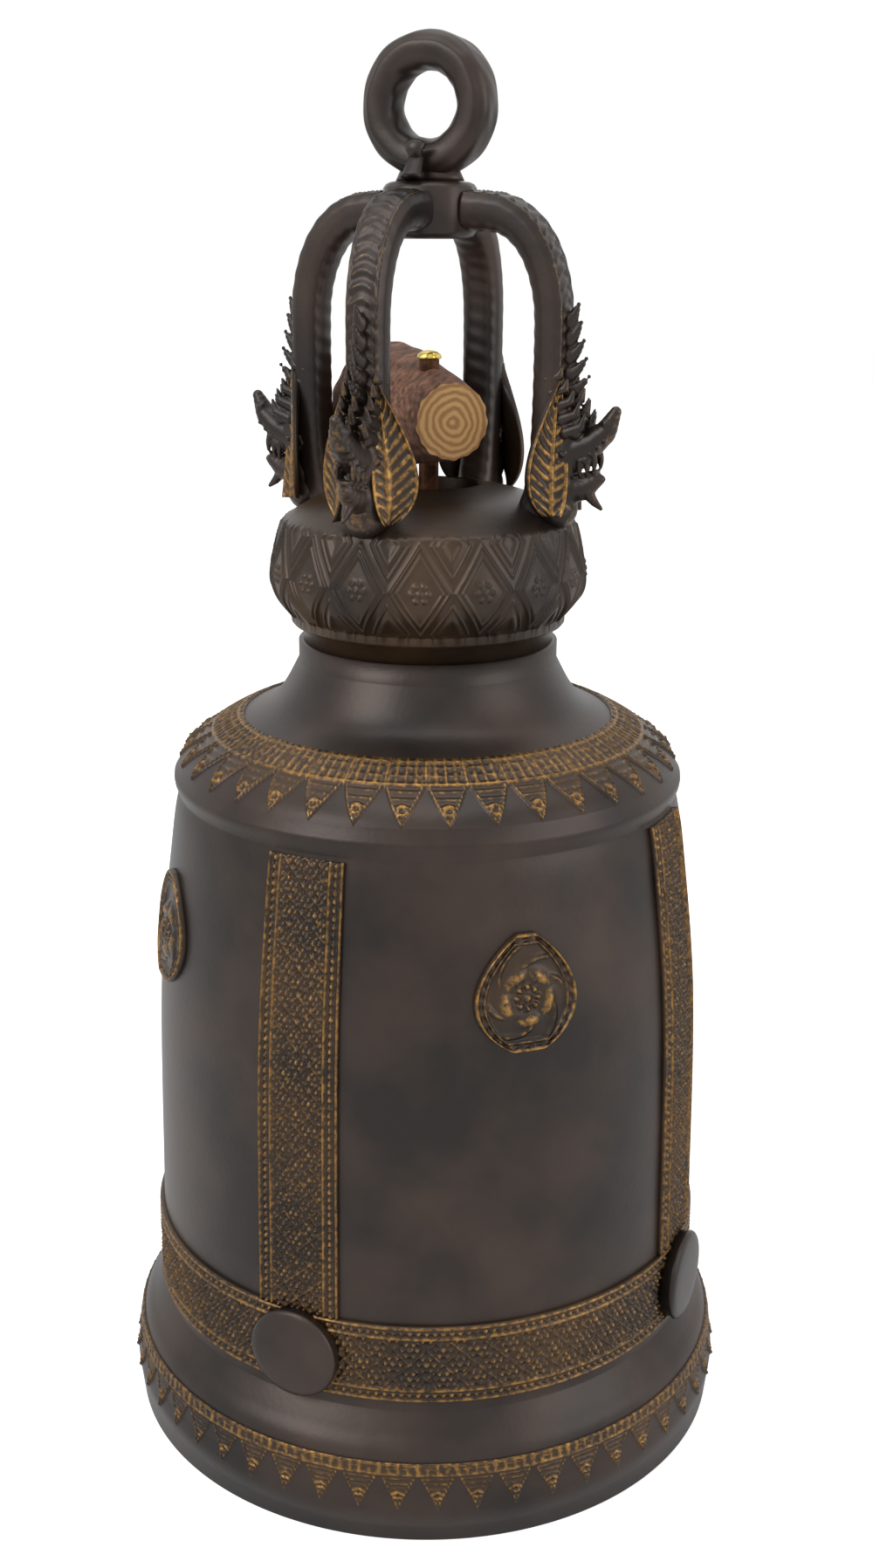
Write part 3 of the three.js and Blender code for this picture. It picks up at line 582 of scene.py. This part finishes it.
# %% [markdown]
# The lotus collar swells between the neck and the crown. Its petals are diamonds with a double
# outline and a rosette, and smaller ones fill in between. The top is a low dome with a hole.

# %% Lotus collar and dome
COLLAR_FOOT, COLLAR_TOP, COLLAR_RADIUS = 370, 411, 67
CAP_EDGE, CAP_HOLE, CAP_RISE, PETALS = 61, 22, 14, 16


def collar_wobble(angle, z, radius):
    """Petals on the collar's bulge, and a beaded edge under it."""
    up = (z - COLLAR_FOOT) / (COLLAR_TOP - COLLAR_FOOT)
    on_bulge = inside(up, 0.05) * inside(1 - up, 0.06) * (radius > 56)
    phase = nearest(angle * PETALS / TAU, 1.0)
    pitch = TAU * COLLAR_RADIUS / PETALS
    big = 1 - np.abs(phase) / 0.5 - np.abs(up - 0.48) / 0.5
    other = nearest(angle * PETALS / TAU + 0.5, 1.0)
    small = 1 - np.abs(other) / 0.36 - np.abs(up - 0.93) / 0.36
    low = 1 - np.abs(other) / 0.36 - np.abs(up - 0.04) / 0.36
    outline = np.maximum(bump(big - 0.10, 0.045), 0.8 * bump(big - 0.30, 0.045))
    flower = rosette(phase * pitch, (up - 0.48) * 41, 5.2, 6) * inside(big - 0.32, 0.1)
    filler = np.maximum(bump(np.maximum(small, low) - 0.12, 0.06), bump(np.maximum(small, low) - 0.5, 0.2))
    swell = 0.6 * inside(big, 0.4)
    return on_bulge * (swell + 1.1 * np.maximum(np.maximum(outline, flower), 0.8 * filler) - 0.4)


collar = through(
    [(59, COLLAR_FOOT), (COLLAR_RADIUS - 1.5, 379), (COLLAR_RADIUS, 388), (64.5, 401), (CAP_EDGE + 1, COLLAR_TOP - 1)],
    90,
)
dome = through([(CAP_EDGE, COLLAR_TOP), (44, COLLAR_TOP + 0.65 * CAP_RISE), (CAP_HOLE, COLLAR_TOP + CAP_RISE)], 24)
cap_line = [(CAP_HOLE, NECK_HEIGHT - 10), (39.7, NECK_HEIGHT - 10), (39.7, NECK_HEIGHT + 0.3), (54, NECK_HEIGHT + 0.3)]
cap_line += [(54, COLLAR_FOOT - 4), (58.2, COLLAR_FOOT - 4), (59, COLLAR_FOOT - 3)] + collar + dome
cap_line += [(CAP_HOLE - 0.2, COLLAR_TOP + CAP_RISE - 1)]
cap = turned("lotus_collar", cap_line, 960, relief_bronze, rub=0.0, wobble=collar_wobble)
places = np.empty(len(cap.data.vertices) * 3)
cap.data.vertices.foreach_get("co", places)
places = places.reshape(-1, 3) / MM
swollen = collar_wobble(np.arctan2(places[:, 1], places[:, 0]), places[:, 2], np.hypot(places[:, 0], places[:, 1]))
cap.data.attributes["rub"].data.foreach_set("value", np.clip(0.1 + swollen / 3.2, 0, 1).astype(np.float32))
dress(cap, "bell", "bronze", "crown_cap")


# %% [markdown]
# The arms are swept: a D-shaped section follows a path that rises from the collar, bows out and
# bends over to the hub. The section changes along the way, which a plain bevelled curve can't do,
# so the rows of points are set out here. Side ridges and scales run along the outer face.

# %% Crown arms
ARM_WIDTH, ARM_DEPTH, ARM_FOOT, ARM_BOW = 16.5, 13.5, 47.5, 55.0
HUB_BASE, HUB_HEIGHT, HUB_RADIUS = 524, 22, 19
DOME_AT_ARM = 414.5


def spaced(points, count):
    """Points an equal way apart along a line of points."""
    points = np.array(points)
    way = np.concatenate([[0], np.cumsum(np.hypot(*np.diff(points, axis=0).T))])
    even = np.linspace(0, way[-1], count)
    return np.stack([np.interp(even, way, points[:, k]) for k in (0, 1)], -1), way[-1]


reach = HUB_RADIUS - 1.5
arm_path, arm_length = spaced(
    through(
        [
            (ARM_FOOT, DOME_AT_ARM - 2),
            (ARM_BOW - 1.5, DOME_AT_ARM + 20),
            (ARM_BOW, HUB_BASE - 40),
            (ARM_BOW - 1.5, HUB_BASE - 18),
            (ARM_BOW - 8.5, HUB_BASE - 1),
            (ARM_BOW - 20.5, HUB_BASE + HUB_HEIGHT / 2 - 2),
            (reach, HUB_BASE + HUB_HEIGHT / 2),
        ],
        120,
    ),
    170,
)


def arm_points():
    """Rows of the arm's section, and how rubbed each point is."""
    around = 64
    t = np.arange(around) * TAU / around
    rows, rubs = [], []
    tangents = np.gradient(arm_path, axis=0)
    tangents /= np.hypot(*tangents.T)[:, None]
    for k, ((x, z), (tx, tz)) in enumerate(zip(arm_path, tangents)):
        s = k / (len(arm_path) - 1)
        along = s * arm_length
        thin = 1 + 0.18 * s**4
        c, sn = np.cos(t), np.sin(t)
        power = np.where(c > 0, 0.45, 0.85)
        depth = np.sign(c) * np.abs(c) ** power * ARM_DEPTH / 2
        width = np.sign(sn) * np.abs(sn) ** 0.7 * ARM_WIDTH / 2
        face = inside(c - 0.25, 0.3)
        ridge_up = 0.9 * bump(np.abs(width) - 0.78 * ARM_WIDTH / 2, 0.9)
        scale = 0.9 * bump(nearest(along + 0.5 * np.abs(width), 5.0), 1.0) * inside(5.2 - np.abs(width), 1.0)
        lift = face * (np.maximum(ridge_up, scale) - 0.4) + 0.12 * np.sin(0.9 * along + 3 * t)
        d = (depth + lift) * thin
        rows.append(np.stack([x + tz * d, width * thin, z - tx * d], -1))
        rubs.append(np.clip(0.25 + 0.7 * face * np.maximum(ridge_up, scale), 0, 1))
    return np.concatenate(rows), np.concatenate(rubs), around


def swept_faces(rows, around):
    """Faces of a closed sweep whose points run round each row."""
    faces = []
    for k in range(rows - 1):
        for j in range(around):
            a, b = k * around + j, k * around + (j + 1) % around
            faces.append((a, b, b + around, a + around))
    faces.append(tuple(range(around))[::-1])
    faces.append(tuple((rows - 1) * around + j for j in range(around)))
    return faces


points, rubs, around = arm_points()
for side, turn in SIDE_TURNS.items():
    arm = mesh_object("arched_arm_" + side, points, swept_faces(len(arm_path), around), bronze, rubs)
    arm.data.transform(Matrix.Rotation(turn, 4, "Z"))
    dress(arm, "bell", "bronze", "crown_arm_" + side)


# %% [markdown]
# The hub and the hanging ring. The ring's bore is round and its rim flatter, and its surface is a
# little uneven, as such a ring is cast by hand. Two leafy tails climb from the hub on its faces.

# %% Hub, ring and tails
def cast_wobble(amount):
    """A gentle unevenness of a hand-made casting."""
    return lambda angle, z, radius: amount * (np.sin(5 * angle + 0.4 * z) + 0.6 * np.sin(11 * angle - 0.7 * z)) * (radius > 1)


hub = turned(
    "crown_boss",
    [(0, HUB_BASE), (HUB_RADIUS - 4, HUB_BASE), (HUB_RADIUS - 1, HUB_BASE + 1.2), (HUB_RADIUS, HUB_BASE + 3),
     (HUB_RADIUS, HUB_BASE + HUB_HEIGHT - 2.4), (HUB_RADIUS - 1.2, HUB_BASE + HUB_HEIGHT - 0.8),
     (HUB_RADIUS - 3, HUB_BASE + HUB_HEIGHT), (0, HUB_BASE + HUB_HEIGHT)],
    96, bronze, rub=0.3, wobble=cast_wobble(0.25))
dress(hub, "bell", "bronze", "crown_hub")

RING_RADIUS, RING_BORE, RING_THICK, RING_FOOT = 28, 12.5, 20, 1
RING_BASE = HUB_BASE + HUB_HEIGHT + 0.3
RING_CENTRE = RING_BASE + RING_FOOT + RING_RADIUS
middle, half = (RING_RADIUS + RING_BORE) / 2, RING_THICK / 2
ring_line = through(
    [(RING_RADIUS - 0.4, -half * 0.5), (RING_RADIUS - 0.4, half * 0.5), (RING_RADIUS - 3.2, half * 0.85),
     (middle + 2, half - 0.3), (middle - 3, half * 0.88), (RING_BORE + 1.5, half * 0.55), (RING_BORE + 0.2, 0),
     (RING_BORE + 1.5, -half * 0.55), (middle - 3, -half * 0.88), (middle + 2, -half + 0.3),
     (RING_RADIUS - 3.2, -half * 0.85)],
    60,
)
ring = turned("hanging_ring", ring_line, 160, bronze, rub=0.35, wobble=cast_wobble(0.18))
ring.data.transform(Matrix.Translation((0, 0, RING_CENTRE * MM)) @ Matrix.Rotation(math.pi / 2, 4, "X"))
dress(ring, "bell", "bronze", "suspension_ring")


def tapered_bar(name, path, widths, depths, side_axis, material, rub):
    """A bar of oval section along a 3D path, its width along side_axis."""
    path = np.array(path, float)
    rows, around = len(path), 20
    tangents = np.gradient(path, axis=0)
    side_axis = np.array(side_axis, float)
    points = []
    for at, tangent, w, d in zip(path, tangents, widths, depths):
        front = np.cross(side_axis, tangent / np.linalg.norm(tangent))
        front /= np.linalg.norm(front)
        t = np.arange(around) * TAU / around
        points.append(at + np.outer(np.cos(t) * w, side_axis) + np.outer(np.sin(t) * d, front))
    points = np.concatenate(points)
    return mesh_object(name, points, swept_faces(rows, around), material, np.full(len(points), rub))


neck_foot = tapered_bar(
    "ring_neck", [(0, 0, RING_BASE), (0, 0, RING_BASE + 2), (0, 0, RING_BASE + 4), (0, 0, RING_BASE + 6)],
    [15, 14, 13, 11], [8.6, 8.2, 7.8, 7.2], (1, 0, 0), bronze, 0.3)
dress(neck_foot, "bell", "bronze")
for name, turn, node_name in (("ring_tail_leaf_front", 0.0, "ring_tail_front"),
                              ("ring_tail_leaf_back", math.pi, "ring_tail_back")):
    climb = through([(-17.5, RING_BASE + 1), (-13.2, RING_BASE + 8), (-12.2, RING_CENTRE - 21),
                     (-14.5, RING_CENTRE - 17.5), (-12.5, RING_CENTRE - 14.5)], 26)
    path = [(0, y, z) for y, z in climb]
    widths = 4.4 - 1.4 * np.sin(np.linspace(0, np.pi, 27)) + 0.5 * bump(np.linspace(0, 1, 27) - 0.85, 0.12)
    widths[-1], widths[-2] = 1.0, 2.6
    tail = tapered_bar(name, path, widths, widths * 0.62, (1, 0, 0), bronze, 0.5)
    tail.data.transform(Matrix.Rotation(turn, 4, "Z"))
    dress(tail, "bell", "bronze", node_name)


# %% [markdown]
# The four heads are sculpted. Rounded lumps are set out for the foot block, skull, jaws, lips,
# brows, eyes, teeth and curls, one voxel remesh melts them into one skin, and a light smoothing
# takes off the steps. One head is made and set at the foot of each arm.

# %% Serpent heads
HEAD_BACK = ARM_FOOT + ARM_DEPTH / 2 + 4.5
HEAD_BASE = COLLAR_TOP + 10


SPECK_SHARE = 0.04


def drop_specks(name, mesh):
    """Removes loose bits that the remesh cut off, each under a small share of the whole."""
    work = bmesh.new()
    work.from_mesh(mesh)
    seen, specks, kept = set(), [], 0
    for first in work.verts:
        if first in seen:
            continue
        island, edge = [first], [first]
        seen.add(first)
        while edge:
            for link in edge.pop().link_edges:
                for vert in link.verts:
                    if vert not in seen:
                        seen.add(vert)
                        island.append(vert)
                        edge.append(vert)
        if len(island) < SPECK_SHARE * len(work.verts):
            specks += island
        else:
            kept += 1
    bmesh.ops.delete(work, geom=specks, context="VERTS")
    work.to_mesh(mesh)
    work.free()
    print(name, "keeps", kept, "parts and drops", len(specks), "loose points")


def lumps(name, parts, voxel_mm, smoothing):
    """One skin over ellipsoids given as (centre, radii, tilt about the side axis in degrees)."""
    work = bmesh.new()
    for centre, radii, tilt in parts:
        ball = bmesh.ops.create_icosphere(work, subdivisions=3, radius=1.0)["verts"]
        shape = Matrix.Translation(Vector(centre) * MM) @ Matrix.Rotation(math.radians(tilt), 4, "Y")
        shape = shape @ Matrix.Diagonal((*(Vector(radii) * MM), 1))
        bmesh.ops.transform(work, matrix=shape, verts=ball)
    mesh = bpy.data.meshes.new(name + "_lumps")
    work.to_mesh(mesh)
    work.free()
    rough = bpy.data.objects.new(name + "_lumps", mesh)
    bpy.context.scene.collection.objects.link(rough)
    remesh = rough.modifiers.new("skin", "REMESH")
    remesh.mode = "VOXEL"
    remesh.voxel_size = voxel_mm * MM
    relax = rough.modifiers.new("relax", "SMOOTH")
    relax.iterations = smoothing
    made = bpy.data.meshes.new_from_object(rough.evaluated_get(bpy.context.evaluated_depsgraph_get()))
    bpy.data.objects.remove(rough)
    drop_specks(name, made)
    return made


def chain(points, count):
    """Lumps along a line of (x, y, z, radius) stations, close enough to melt together."""
    stations = np.array(points, float)
    places = np.linspace(0, len(stations) - 1, count)
    values = [np.interp(places, np.arange(len(stations)), stations[:, k]) for k in range(4)]
    return [((x, y, z), (r, r, r), 0) for x, y, z, r in zip(*values)]


def head_parts():
    """The lumps of one head: x goes outwards, z up."""
    b, z = HEAD_BACK, HEAD_BASE
    parts = [((b - 1, 0, z - 3), (9.5, 9.2, 9), 0), ((b + 1, 0, z + 5), (9, 8.8, 10), 12)]
    parts += [((b + 2.5, 0, z + 19), (8.5, 8.2, 14), 8), ((b + 1, 0, z + 34), (5, 7, 9), 0)]
    snout = [(b + 7, 0, z + 21, 7), (b + 14, 0, z + 24, 5.8), (b + 20, 0, z + 29, 4.6), (b + 24, 0, z + 37, 2.4)]
    jaw = [(b + 4, 0, z + 5, 6.6), (b + 11, 0, z + 6, 5), (b + 16.5, 0, z + 9.5, 3.2), (b + 19, 0, z + 10, 1.6)]
    parts += chain(snout, 12) + chain(jaw, 9)
    parts += chain([(b + 13, 0, z + 4, 2.6), (b + 16, 0, z + 0.5, 1.8), (b + 19, 0, z - 2, 0.9)], 7)
    for k in range(4):
        parts += [((b + 12.5 + 2.9 * k, 0, z + 17.6 + 2.7 * k), (1.5, 6.6 - 0.5 * k, 1.3), 0)]
        parts += [((b + 8.5 + 2.6 * k, 0, z + 10.6 + 0.7 * k), (1.4, 6.0 - 0.6 * k, 1.1), 0)]
    for sign in (-1, 1):
        parts += [((b + 9, sign * 5.6, z + 28.5), (2.8, 2.3, 2.8), 0)]
        parts += [((b + 10, sign * 5.0, z + 32.2), (4.8, 2.0, 1.6), -28)]
        parts += [((b + 21, sign * 3.0, z + 32.5), (1.9, 1.6, 1.7), 0)]
        parts += [((b + 11 + 3 * k, sign * (4.8 - 0.5 * k), z + 15.6 + 0.9 * k), (1.2, 1.2, 4.4), 0) for k in range(3)]
        for k in range(7):
            turn = math.radians(30 + 48 * k)
            out = 4.2 - 0.4 * k
            parts += [((b + 1 + out * math.cos(turn), sign * 8.4, z + 18 + out * math.sin(turn)), (1.4, 1.2, 1.4), 0)]
    for column in (-5.5, 0, 5.5):
        for k in range(5):
            x, height = b + 8 - 2.1 * k, z + 27 + 5.2 * k + 0.25 * abs(column)
            reach = (9.5 - 0.9 * k) * (1 - 0.05 * abs(column))
            curl = [(x - 3, column, height, 3.0), (x + 0.5 * reach, column * 1.1, height + 0.35 * reach, 1.9)]
            curl += [(x + 0.75 * reach, column * 1.15, height + 1.1 * reach, 0.7)]
            parts += chain(curl, 9)
    return parts


head_mesh = lumps("serpent_head", head_parts(), 0.6, 2)
head_places = np.array([v.co[:] for v in head_mesh.vertices])
head_normals = np.array([v.normal[:] for v in head_mesh.vertices])
outward = np.clip(head_normals[:, 0] * 0.6 + 0.35 + 0.03 * np.sin(head_places[:, 2] / MM), 0, 1)
head_mesh.attributes.new("rub", "FLOAT", "POINT").data.foreach_set("value", outward.astype(np.float32))
head_mesh.materials.append(bronze)
head_mesh.polygons.foreach_set("use_smooth", [True] * len(head_mesh.polygons))
for side, turn in SIDE_TURNS.items():
    copy = head_mesh.copy()
    copy.transform(Matrix.Rotation(turn, 4, "Z"))
    head = bpy.data.objects.new("serpent_head_" + side, copy)
    bpy.context.scene.collection.objects.link(head)
    dress(head, "bell", "bronze", "naga_head_" + side)


# %% [markdown]
# Above each head a crest of flames runs up the arm, and two ribbed leaves stand beside it. A flame
# is a small horn that curls outwards, and a leaf is a thin cupped plate with a midrib.

# %% Crests and leaves
def crest_mesh():
    """A row of curled horns on the arm's outer face, melted together."""
    parts = []
    back = ARM_BOW + ARM_DEPTH / 2 + 0.2
    for k in range(5):
        foot_z = COLLAR_TOP + 54 + 7.0 * k
        out = 9.0 - 1.3 * k
        for j in range(6):
            t = j / 5
            size = 3.2 * (1 - 0.75 * t)
            parts.append(((back + out * t, 0, foot_z + 6.5 * t**1.6), (size, size * 0.95, size * 1.2), -30 * t))
    return lumps("flame_crest", parts, 0.5, 1)


LEAF_LENGTH, LEAF_HALF_WIDTH = 54, 9.2


def leaf_points():
    """A leaf in its own plane: y across, z up, x outwards."""
    columns, rows = 41, 64
    u, v = np.meshgrid(np.linspace(-1, 1, columns), np.linspace(0, 1, rows), indexing="ij")
    half_width = LEAF_HALF_WIDTH * np.sin(np.pi * (0.015 + 0.97 * v) ** 0.62)
    y = (u + 0.45) * half_width
    z = LEAF_LENGTH * v
    cup = 1.8 * u**2 - 3.0 * u * (1 - v)
    ribs = 0.8 * bump(nearest(z - 7 * np.abs(u + 0.3), 4.6), 1.1) * inside(0.9 - np.abs(u), 0.2)
    midrib = 1.1 * bump((u + 0.3) * LEAF_HALF_WIDTH, 1.2)
    rim = 0.9 * bump((1 - np.abs(u)) * LEAF_HALF_WIDTH - 0.8, 0.9)
    up = np.maximum(np.maximum(ribs, midrib), rim)
    front = np.stack([cup + up, y, z], -1).reshape(-1, 3)
    back = np.stack([cup - 1.6 * np.ones_like(up), y, z], -1).reshape(-1, 3)
    count = columns * rows
    faces = grid_faces(columns, rows) + grid_faces(columns, rows, count)
    for i in range(columns - 1):
        a, b = i * rows, (i + 1) * rows
        faces.append((a, b, b + count, a + count))
        faces.append((a + rows - 1, b + rows - 1, b + rows - 1 + count, a + rows - 1 + count))
    last = (columns - 1) * rows
    for j in range(rows - 1):
        faces.append((j, j + 1, j + 1 + count, j + count))
        faces.append((last + j, last + j + 1, last + j + 1 + count, last + j + count))
    rub = np.concatenate([np.clip(0.3 + up, 0, 1).reshape(-1), np.zeros(count)])
    return np.concatenate([front, back]), faces, rub


flames = crest_mesh()
flames.attributes.new("rub", "FLOAT", "POINT").data.foreach_set(
    "value", np.full(len(flames.vertices), 0.55, np.float32)
)
flames.materials.append(bronze)
flames.polygons.foreach_set("use_smooth", [True] * len(flames.polygons))
leaf_mesh_points, leaf_faces, leaf_rub = leaf_points()
for side, turn in SIDE_TURNS.items():
    copy = flames.copy()
    copy.transform(Matrix.Rotation(turn, 4, "Z"))
    crest = bpy.data.objects.new("flame_crest_" + side, copy)
    bpy.context.scene.collection.objects.link(crest)
    dress(crest, "bell", "bronze", "head_crest_" + side)
    for hand, sign in (("a", -1), ("b", 1)):
        leaf = mesh_object("ribbed_leaf_" + side + "_" + hand, leaf_mesh_points, leaf_faces, relief_bronze, leaf_rub)
        lean = Matrix.Translation(((HEAD_BACK + 1) * MM, sign * 10.6 * MM, (COLLAR_TOP + 5) * MM))
        lean = lean @ Matrix.Rotation(sign * 0.08, 4, "X") @ Matrix.Rotation(sign * 0.45, 4, "Z")
        lean = lean @ Matrix.Diagonal((1, sign, 1, 1))
        leaf.data.transform(Matrix.Rotation(turn, 4, "Z") @ lean)
        weld(leaf)
        dress(leaf, "bell", "relief_bronze", "leaf_" + side + "_" + hand)


# %% [markdown]
# The log is wedged between two arms and thickens towards them. Its skin has long furrows, and its
# sawn front end shows the rings. The rod that carries the clapper goes down through it.

# %% Log, rod head and clapper ball
LOG_FRONT, LOG_FRONT_REACH, LOG_REAR_REACH, LOG_Z = 16.0, 28, 50, 453
LOG_REAR = math.sqrt(0.5) * (ARM_BOW - ARM_DEPTH / 2 - ARM_WIDTH / 2) - 0.3


def log_object():
    """The tapered log along +X before it is turned: front end at +28 mm."""
    around, rows = 120, 90
    t = np.arange(around) * TAU / around
    along = np.linspace(LOG_FRONT_REACH, -LOG_REAR_REACH, rows)
    share = (LOG_FRONT_REACH - along) / (LOG_FRONT_REACH + LOG_REAR_REACH)
    radius = LOG_FRONT + (LOG_REAR - LOG_FRONT) * share
    furrow = 0.35 * np.sin(9 * t)[None, :] * np.sin(0.10 * along + 1)[:, None] + 0.25 * np.sin(17 * t + 0.06 * along[:, None])
    knot = -1.2 * np.exp(-(((t[None, :] - 1.9) / 0.25) ** 2) - ((along[:, None] - 6) / 5) ** 2)
    r = radius[:, None] - 0.6 + furrow + knot
    skin = np.stack([np.broadcast_to(along[:, None], r.shape), r * np.cos(t), r * np.sin(t)], -1).reshape(-1, 3)
    points, faces = [skin], swept_faces(rows, around)[:-2]
    end, pith = [np.zeros(len(skin))], [np.full(len(skin), LOG_FRONT * MM)]
    for sign, row in ((1, 0), (-1, rows - 1)):
        start = sum(len(p) for p in points)
        shares = np.array([0.985, 0.8, 0.6, 0.4, 0.2])
        cap_points = np.concatenate([
            np.stack([np.full(around, along[row] + sign * 0.15 * (1 - s)), r[row] * s * np.cos(t), r[row] * s * np.sin(t)], -1)
            for s in shares
        ])
        points += [cap_points, np.array([[along[row] + sign * 0.15, 0, 0]])]
        end += [np.ones(len(cap_points) + 1)]
        pith += [np.hypot(cap_points[:, 1], cap_points[:, 2]) * MM, np.zeros(1)]
        for j in range(around):
            k = (j + 1) % around
            faces.append((row * around + j, row * around + k, start + k, start + j))
            for ring_no in range(len(shares) - 1):
                a = start + ring_no * around
                faces.append((a + j, a + k, a + around + k, a + around + j))
            a = start + (len(shares) - 1) * around
            faces.append((a + j, a + k, start + len(shares) * around))
    made = mesh_object("wedged_log", np.concatenate(points), faces, branch, None,
                       extra={"end": np.concatenate(end), "pith": np.concatenate(pith)})
    return made


log = log_object()
log.data.transform(Matrix.Translation((0, 0, LOG_Z * MM)) @ Matrix.Rotation(-math.pi / 4, 4, "Z"))
dress(log, "bell", "log_wood", "log_crossbar")

low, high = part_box("hanger_rivet")
seat = low[2] / MM
rivet = turned("rivet_head", [(0, seat), (4.9, seat), (5.2, seat + 0.5), (4.8, seat + 1.6), (3.4, seat + 2.7),
                              (1.7, seat + 3.3), (0, seat + 3.5)], 48, bright_brass)
dress(rivet, "hanger", "rivet_brass", "hanger_rivet")

low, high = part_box("clapper_ball")
ball_z, ball_r, ball_bore = (low[2] + high[2]) / 2 / MM, 24.0, 4.8
steps = np.linspace(-math.acos(ball_bore / ball_r), math.acos(ball_bore / ball_r), 40)
ball_line = [(ball_r * math.cos(a), ball_z + ball_r * math.sin(a)) for a in steps]
ball = turned("clapper_weight", ball_line, 96, rusty_iron)
dress(ball, "clapper", "iron", "clapper_ball")

for name in ("hanger_rod", "clapper_pin", "clapper_stem"):
    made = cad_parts[name]
    made.data.materials.clear()
    made.data.materials.append(rusty_iron)
print("iron on the rod, pin and stem")


# %% [markdown]
# A pale studio: a white floor, a white world as the camera and the gloss see it, and soft lamps.
# The lamps give the level, and the white comes from the background's own colour.

# %% Stage, light and camera
def area_lamp(name, place, target, size, power):
    """A square soft lamp aimed at a point."""
    lamp = bpy.data.lights.new(name, "AREA")
    lamp.size = size
    lamp.energy = power
    made = bpy.data.objects.new(name, lamp)
    made.location = place
    made.rotation_euler = (Vector(target) - Vector(place)).to_track_quat("-Z", "Y").to_euler()
    bpy.context.scene.collection.objects.link(made)
    return made


FLOOR_HALF = 6.0
floor_mesh = bpy.data.meshes.new("floor")
floor_mesh.from_pydata(
    [(x * FLOOR_HALF, y * FLOOR_HALF, -0.0005) for x, y in ((-1, -1), (1, -1), (1, 1), (-1, 1))], [], [(0, 1, 2, 3)]
)
floor = bpy.data.objects.new("floor", floor_mesh)
bpy.context.scene.collection.objects.link(floor)
floor_material, tree, shader = new_material("white_paper_floor")
shader.inputs["Base Color"].default_value = linear("f4f4f4")
shader.inputs["Roughness"].default_value = 0.9
shader.inputs["Specular IOR Level"].default_value = 0.0
rays = node(tree, "ShaderNodeLightPath")
glow = node(tree, "ShaderNodeMath", {0: rays.outputs["Is Camera Ray"]}, operation="MULTIPLY")
glow.inputs[1].default_value = 0.6
shader.inputs["Emission Color"].default_value = (1, 1, 1, 1)
tree.links.new(glow.outputs[0], shader.inputs["Emission Strength"])
floor.data.materials.append(floor_material)

world = bpy.data.worlds.new("studio")
bpy.context.scene.world = world
world.use_nodes = True
tree = world.node_tree
rays = node(tree, "ShaderNodeLightPath")
seen = node(tree, "ShaderNodeMath", {0: rays.outputs["Is Camera Ray"], 1: rays.outputs["Is Glossy Ray"]}, operation="MAXIMUM")
seen = node(tree, "ShaderNodeMath", {0: seen.outputs[0], 1: rays.outputs["Is Transmission Ray"]}, operation="MAXIMUM")
level = node(tree, "ShaderNodeMapRange", {"Value": seen.outputs[0]})
level.inputs["To Min"].default_value = 0.55
level.inputs["To Max"].default_value = 1.0
background = tree.nodes["Background"]
background.inputs["Color"].default_value = (1, 1, 1, 1)
tree.links.new(level.outputs["Result"], background.inputs["Strength"])

CAMERA_TURN = math.radians(25.4)


def around_bell(side, out, up):
    """A place given from the camera's own azimuth: to its right, towards it, and up, in metres."""
    s, c = math.sin(CAMERA_TURN), math.cos(CAMERA_TURN)
    return (side * c + out * s, side * s - out * c, up)


area_lamp("key", around_bell(-1.5, 1.2, 1.6), (0, 0, 0.3), 1.2, 26)
area_lamp("fill", around_bell(1.7, 0.9, 0.9), (0, 0, 0.3), 1.4, 14)
area_lamp("top", (0, 0, 2.2), (0, 0, 0.3), 1.6, 16)

CAMERA_DISTANCE, CAMERA_HEIGHT = 0.7719, 0.5276
CAMERA_PITCH, CAMERA_ROLL = math.radians(17.035), math.radians(0.237)
FOCAL_PIXELS, CENTRE_X = 2073.96, 487.37
PICTURE_WIDTH, PICTURE_HEIGHT = 1000, 1797
camera_data = bpy.data.cameras.new("camera")
camera = bpy.data.objects.new("camera", camera_data)
bpy.context.scene.collection.objects.link(camera)
camera_data.sensor_fit = "VERTICAL"
camera_data.sensor_height = 36.0
camera_data.lens = 36.0 * FOCAL_PIXELS / PICTURE_HEIGHT
camera_data.shift_x = (PICTURE_WIDTH / 2 - CENTRE_X) / PICTURE_HEIGHT
turn = Matrix.Rotation(CAMERA_TURN, 4, "Z") @ Matrix.Rotation(math.pi / 2 - CAMERA_PITCH, 4, "X")
camera.matrix_world = (
    Matrix.Translation(around_bell(-0.0008, CAMERA_DISTANCE, CAMERA_HEIGHT)) @ turn @ Matrix.Rotation(CAMERA_ROLL, 4, "Z")
)
bpy.context.scene.camera = camera
bpy.context.scene.view_settings.view_transform = "Standard"
print("camera lens", round(camera_data.lens, 2), "mm")
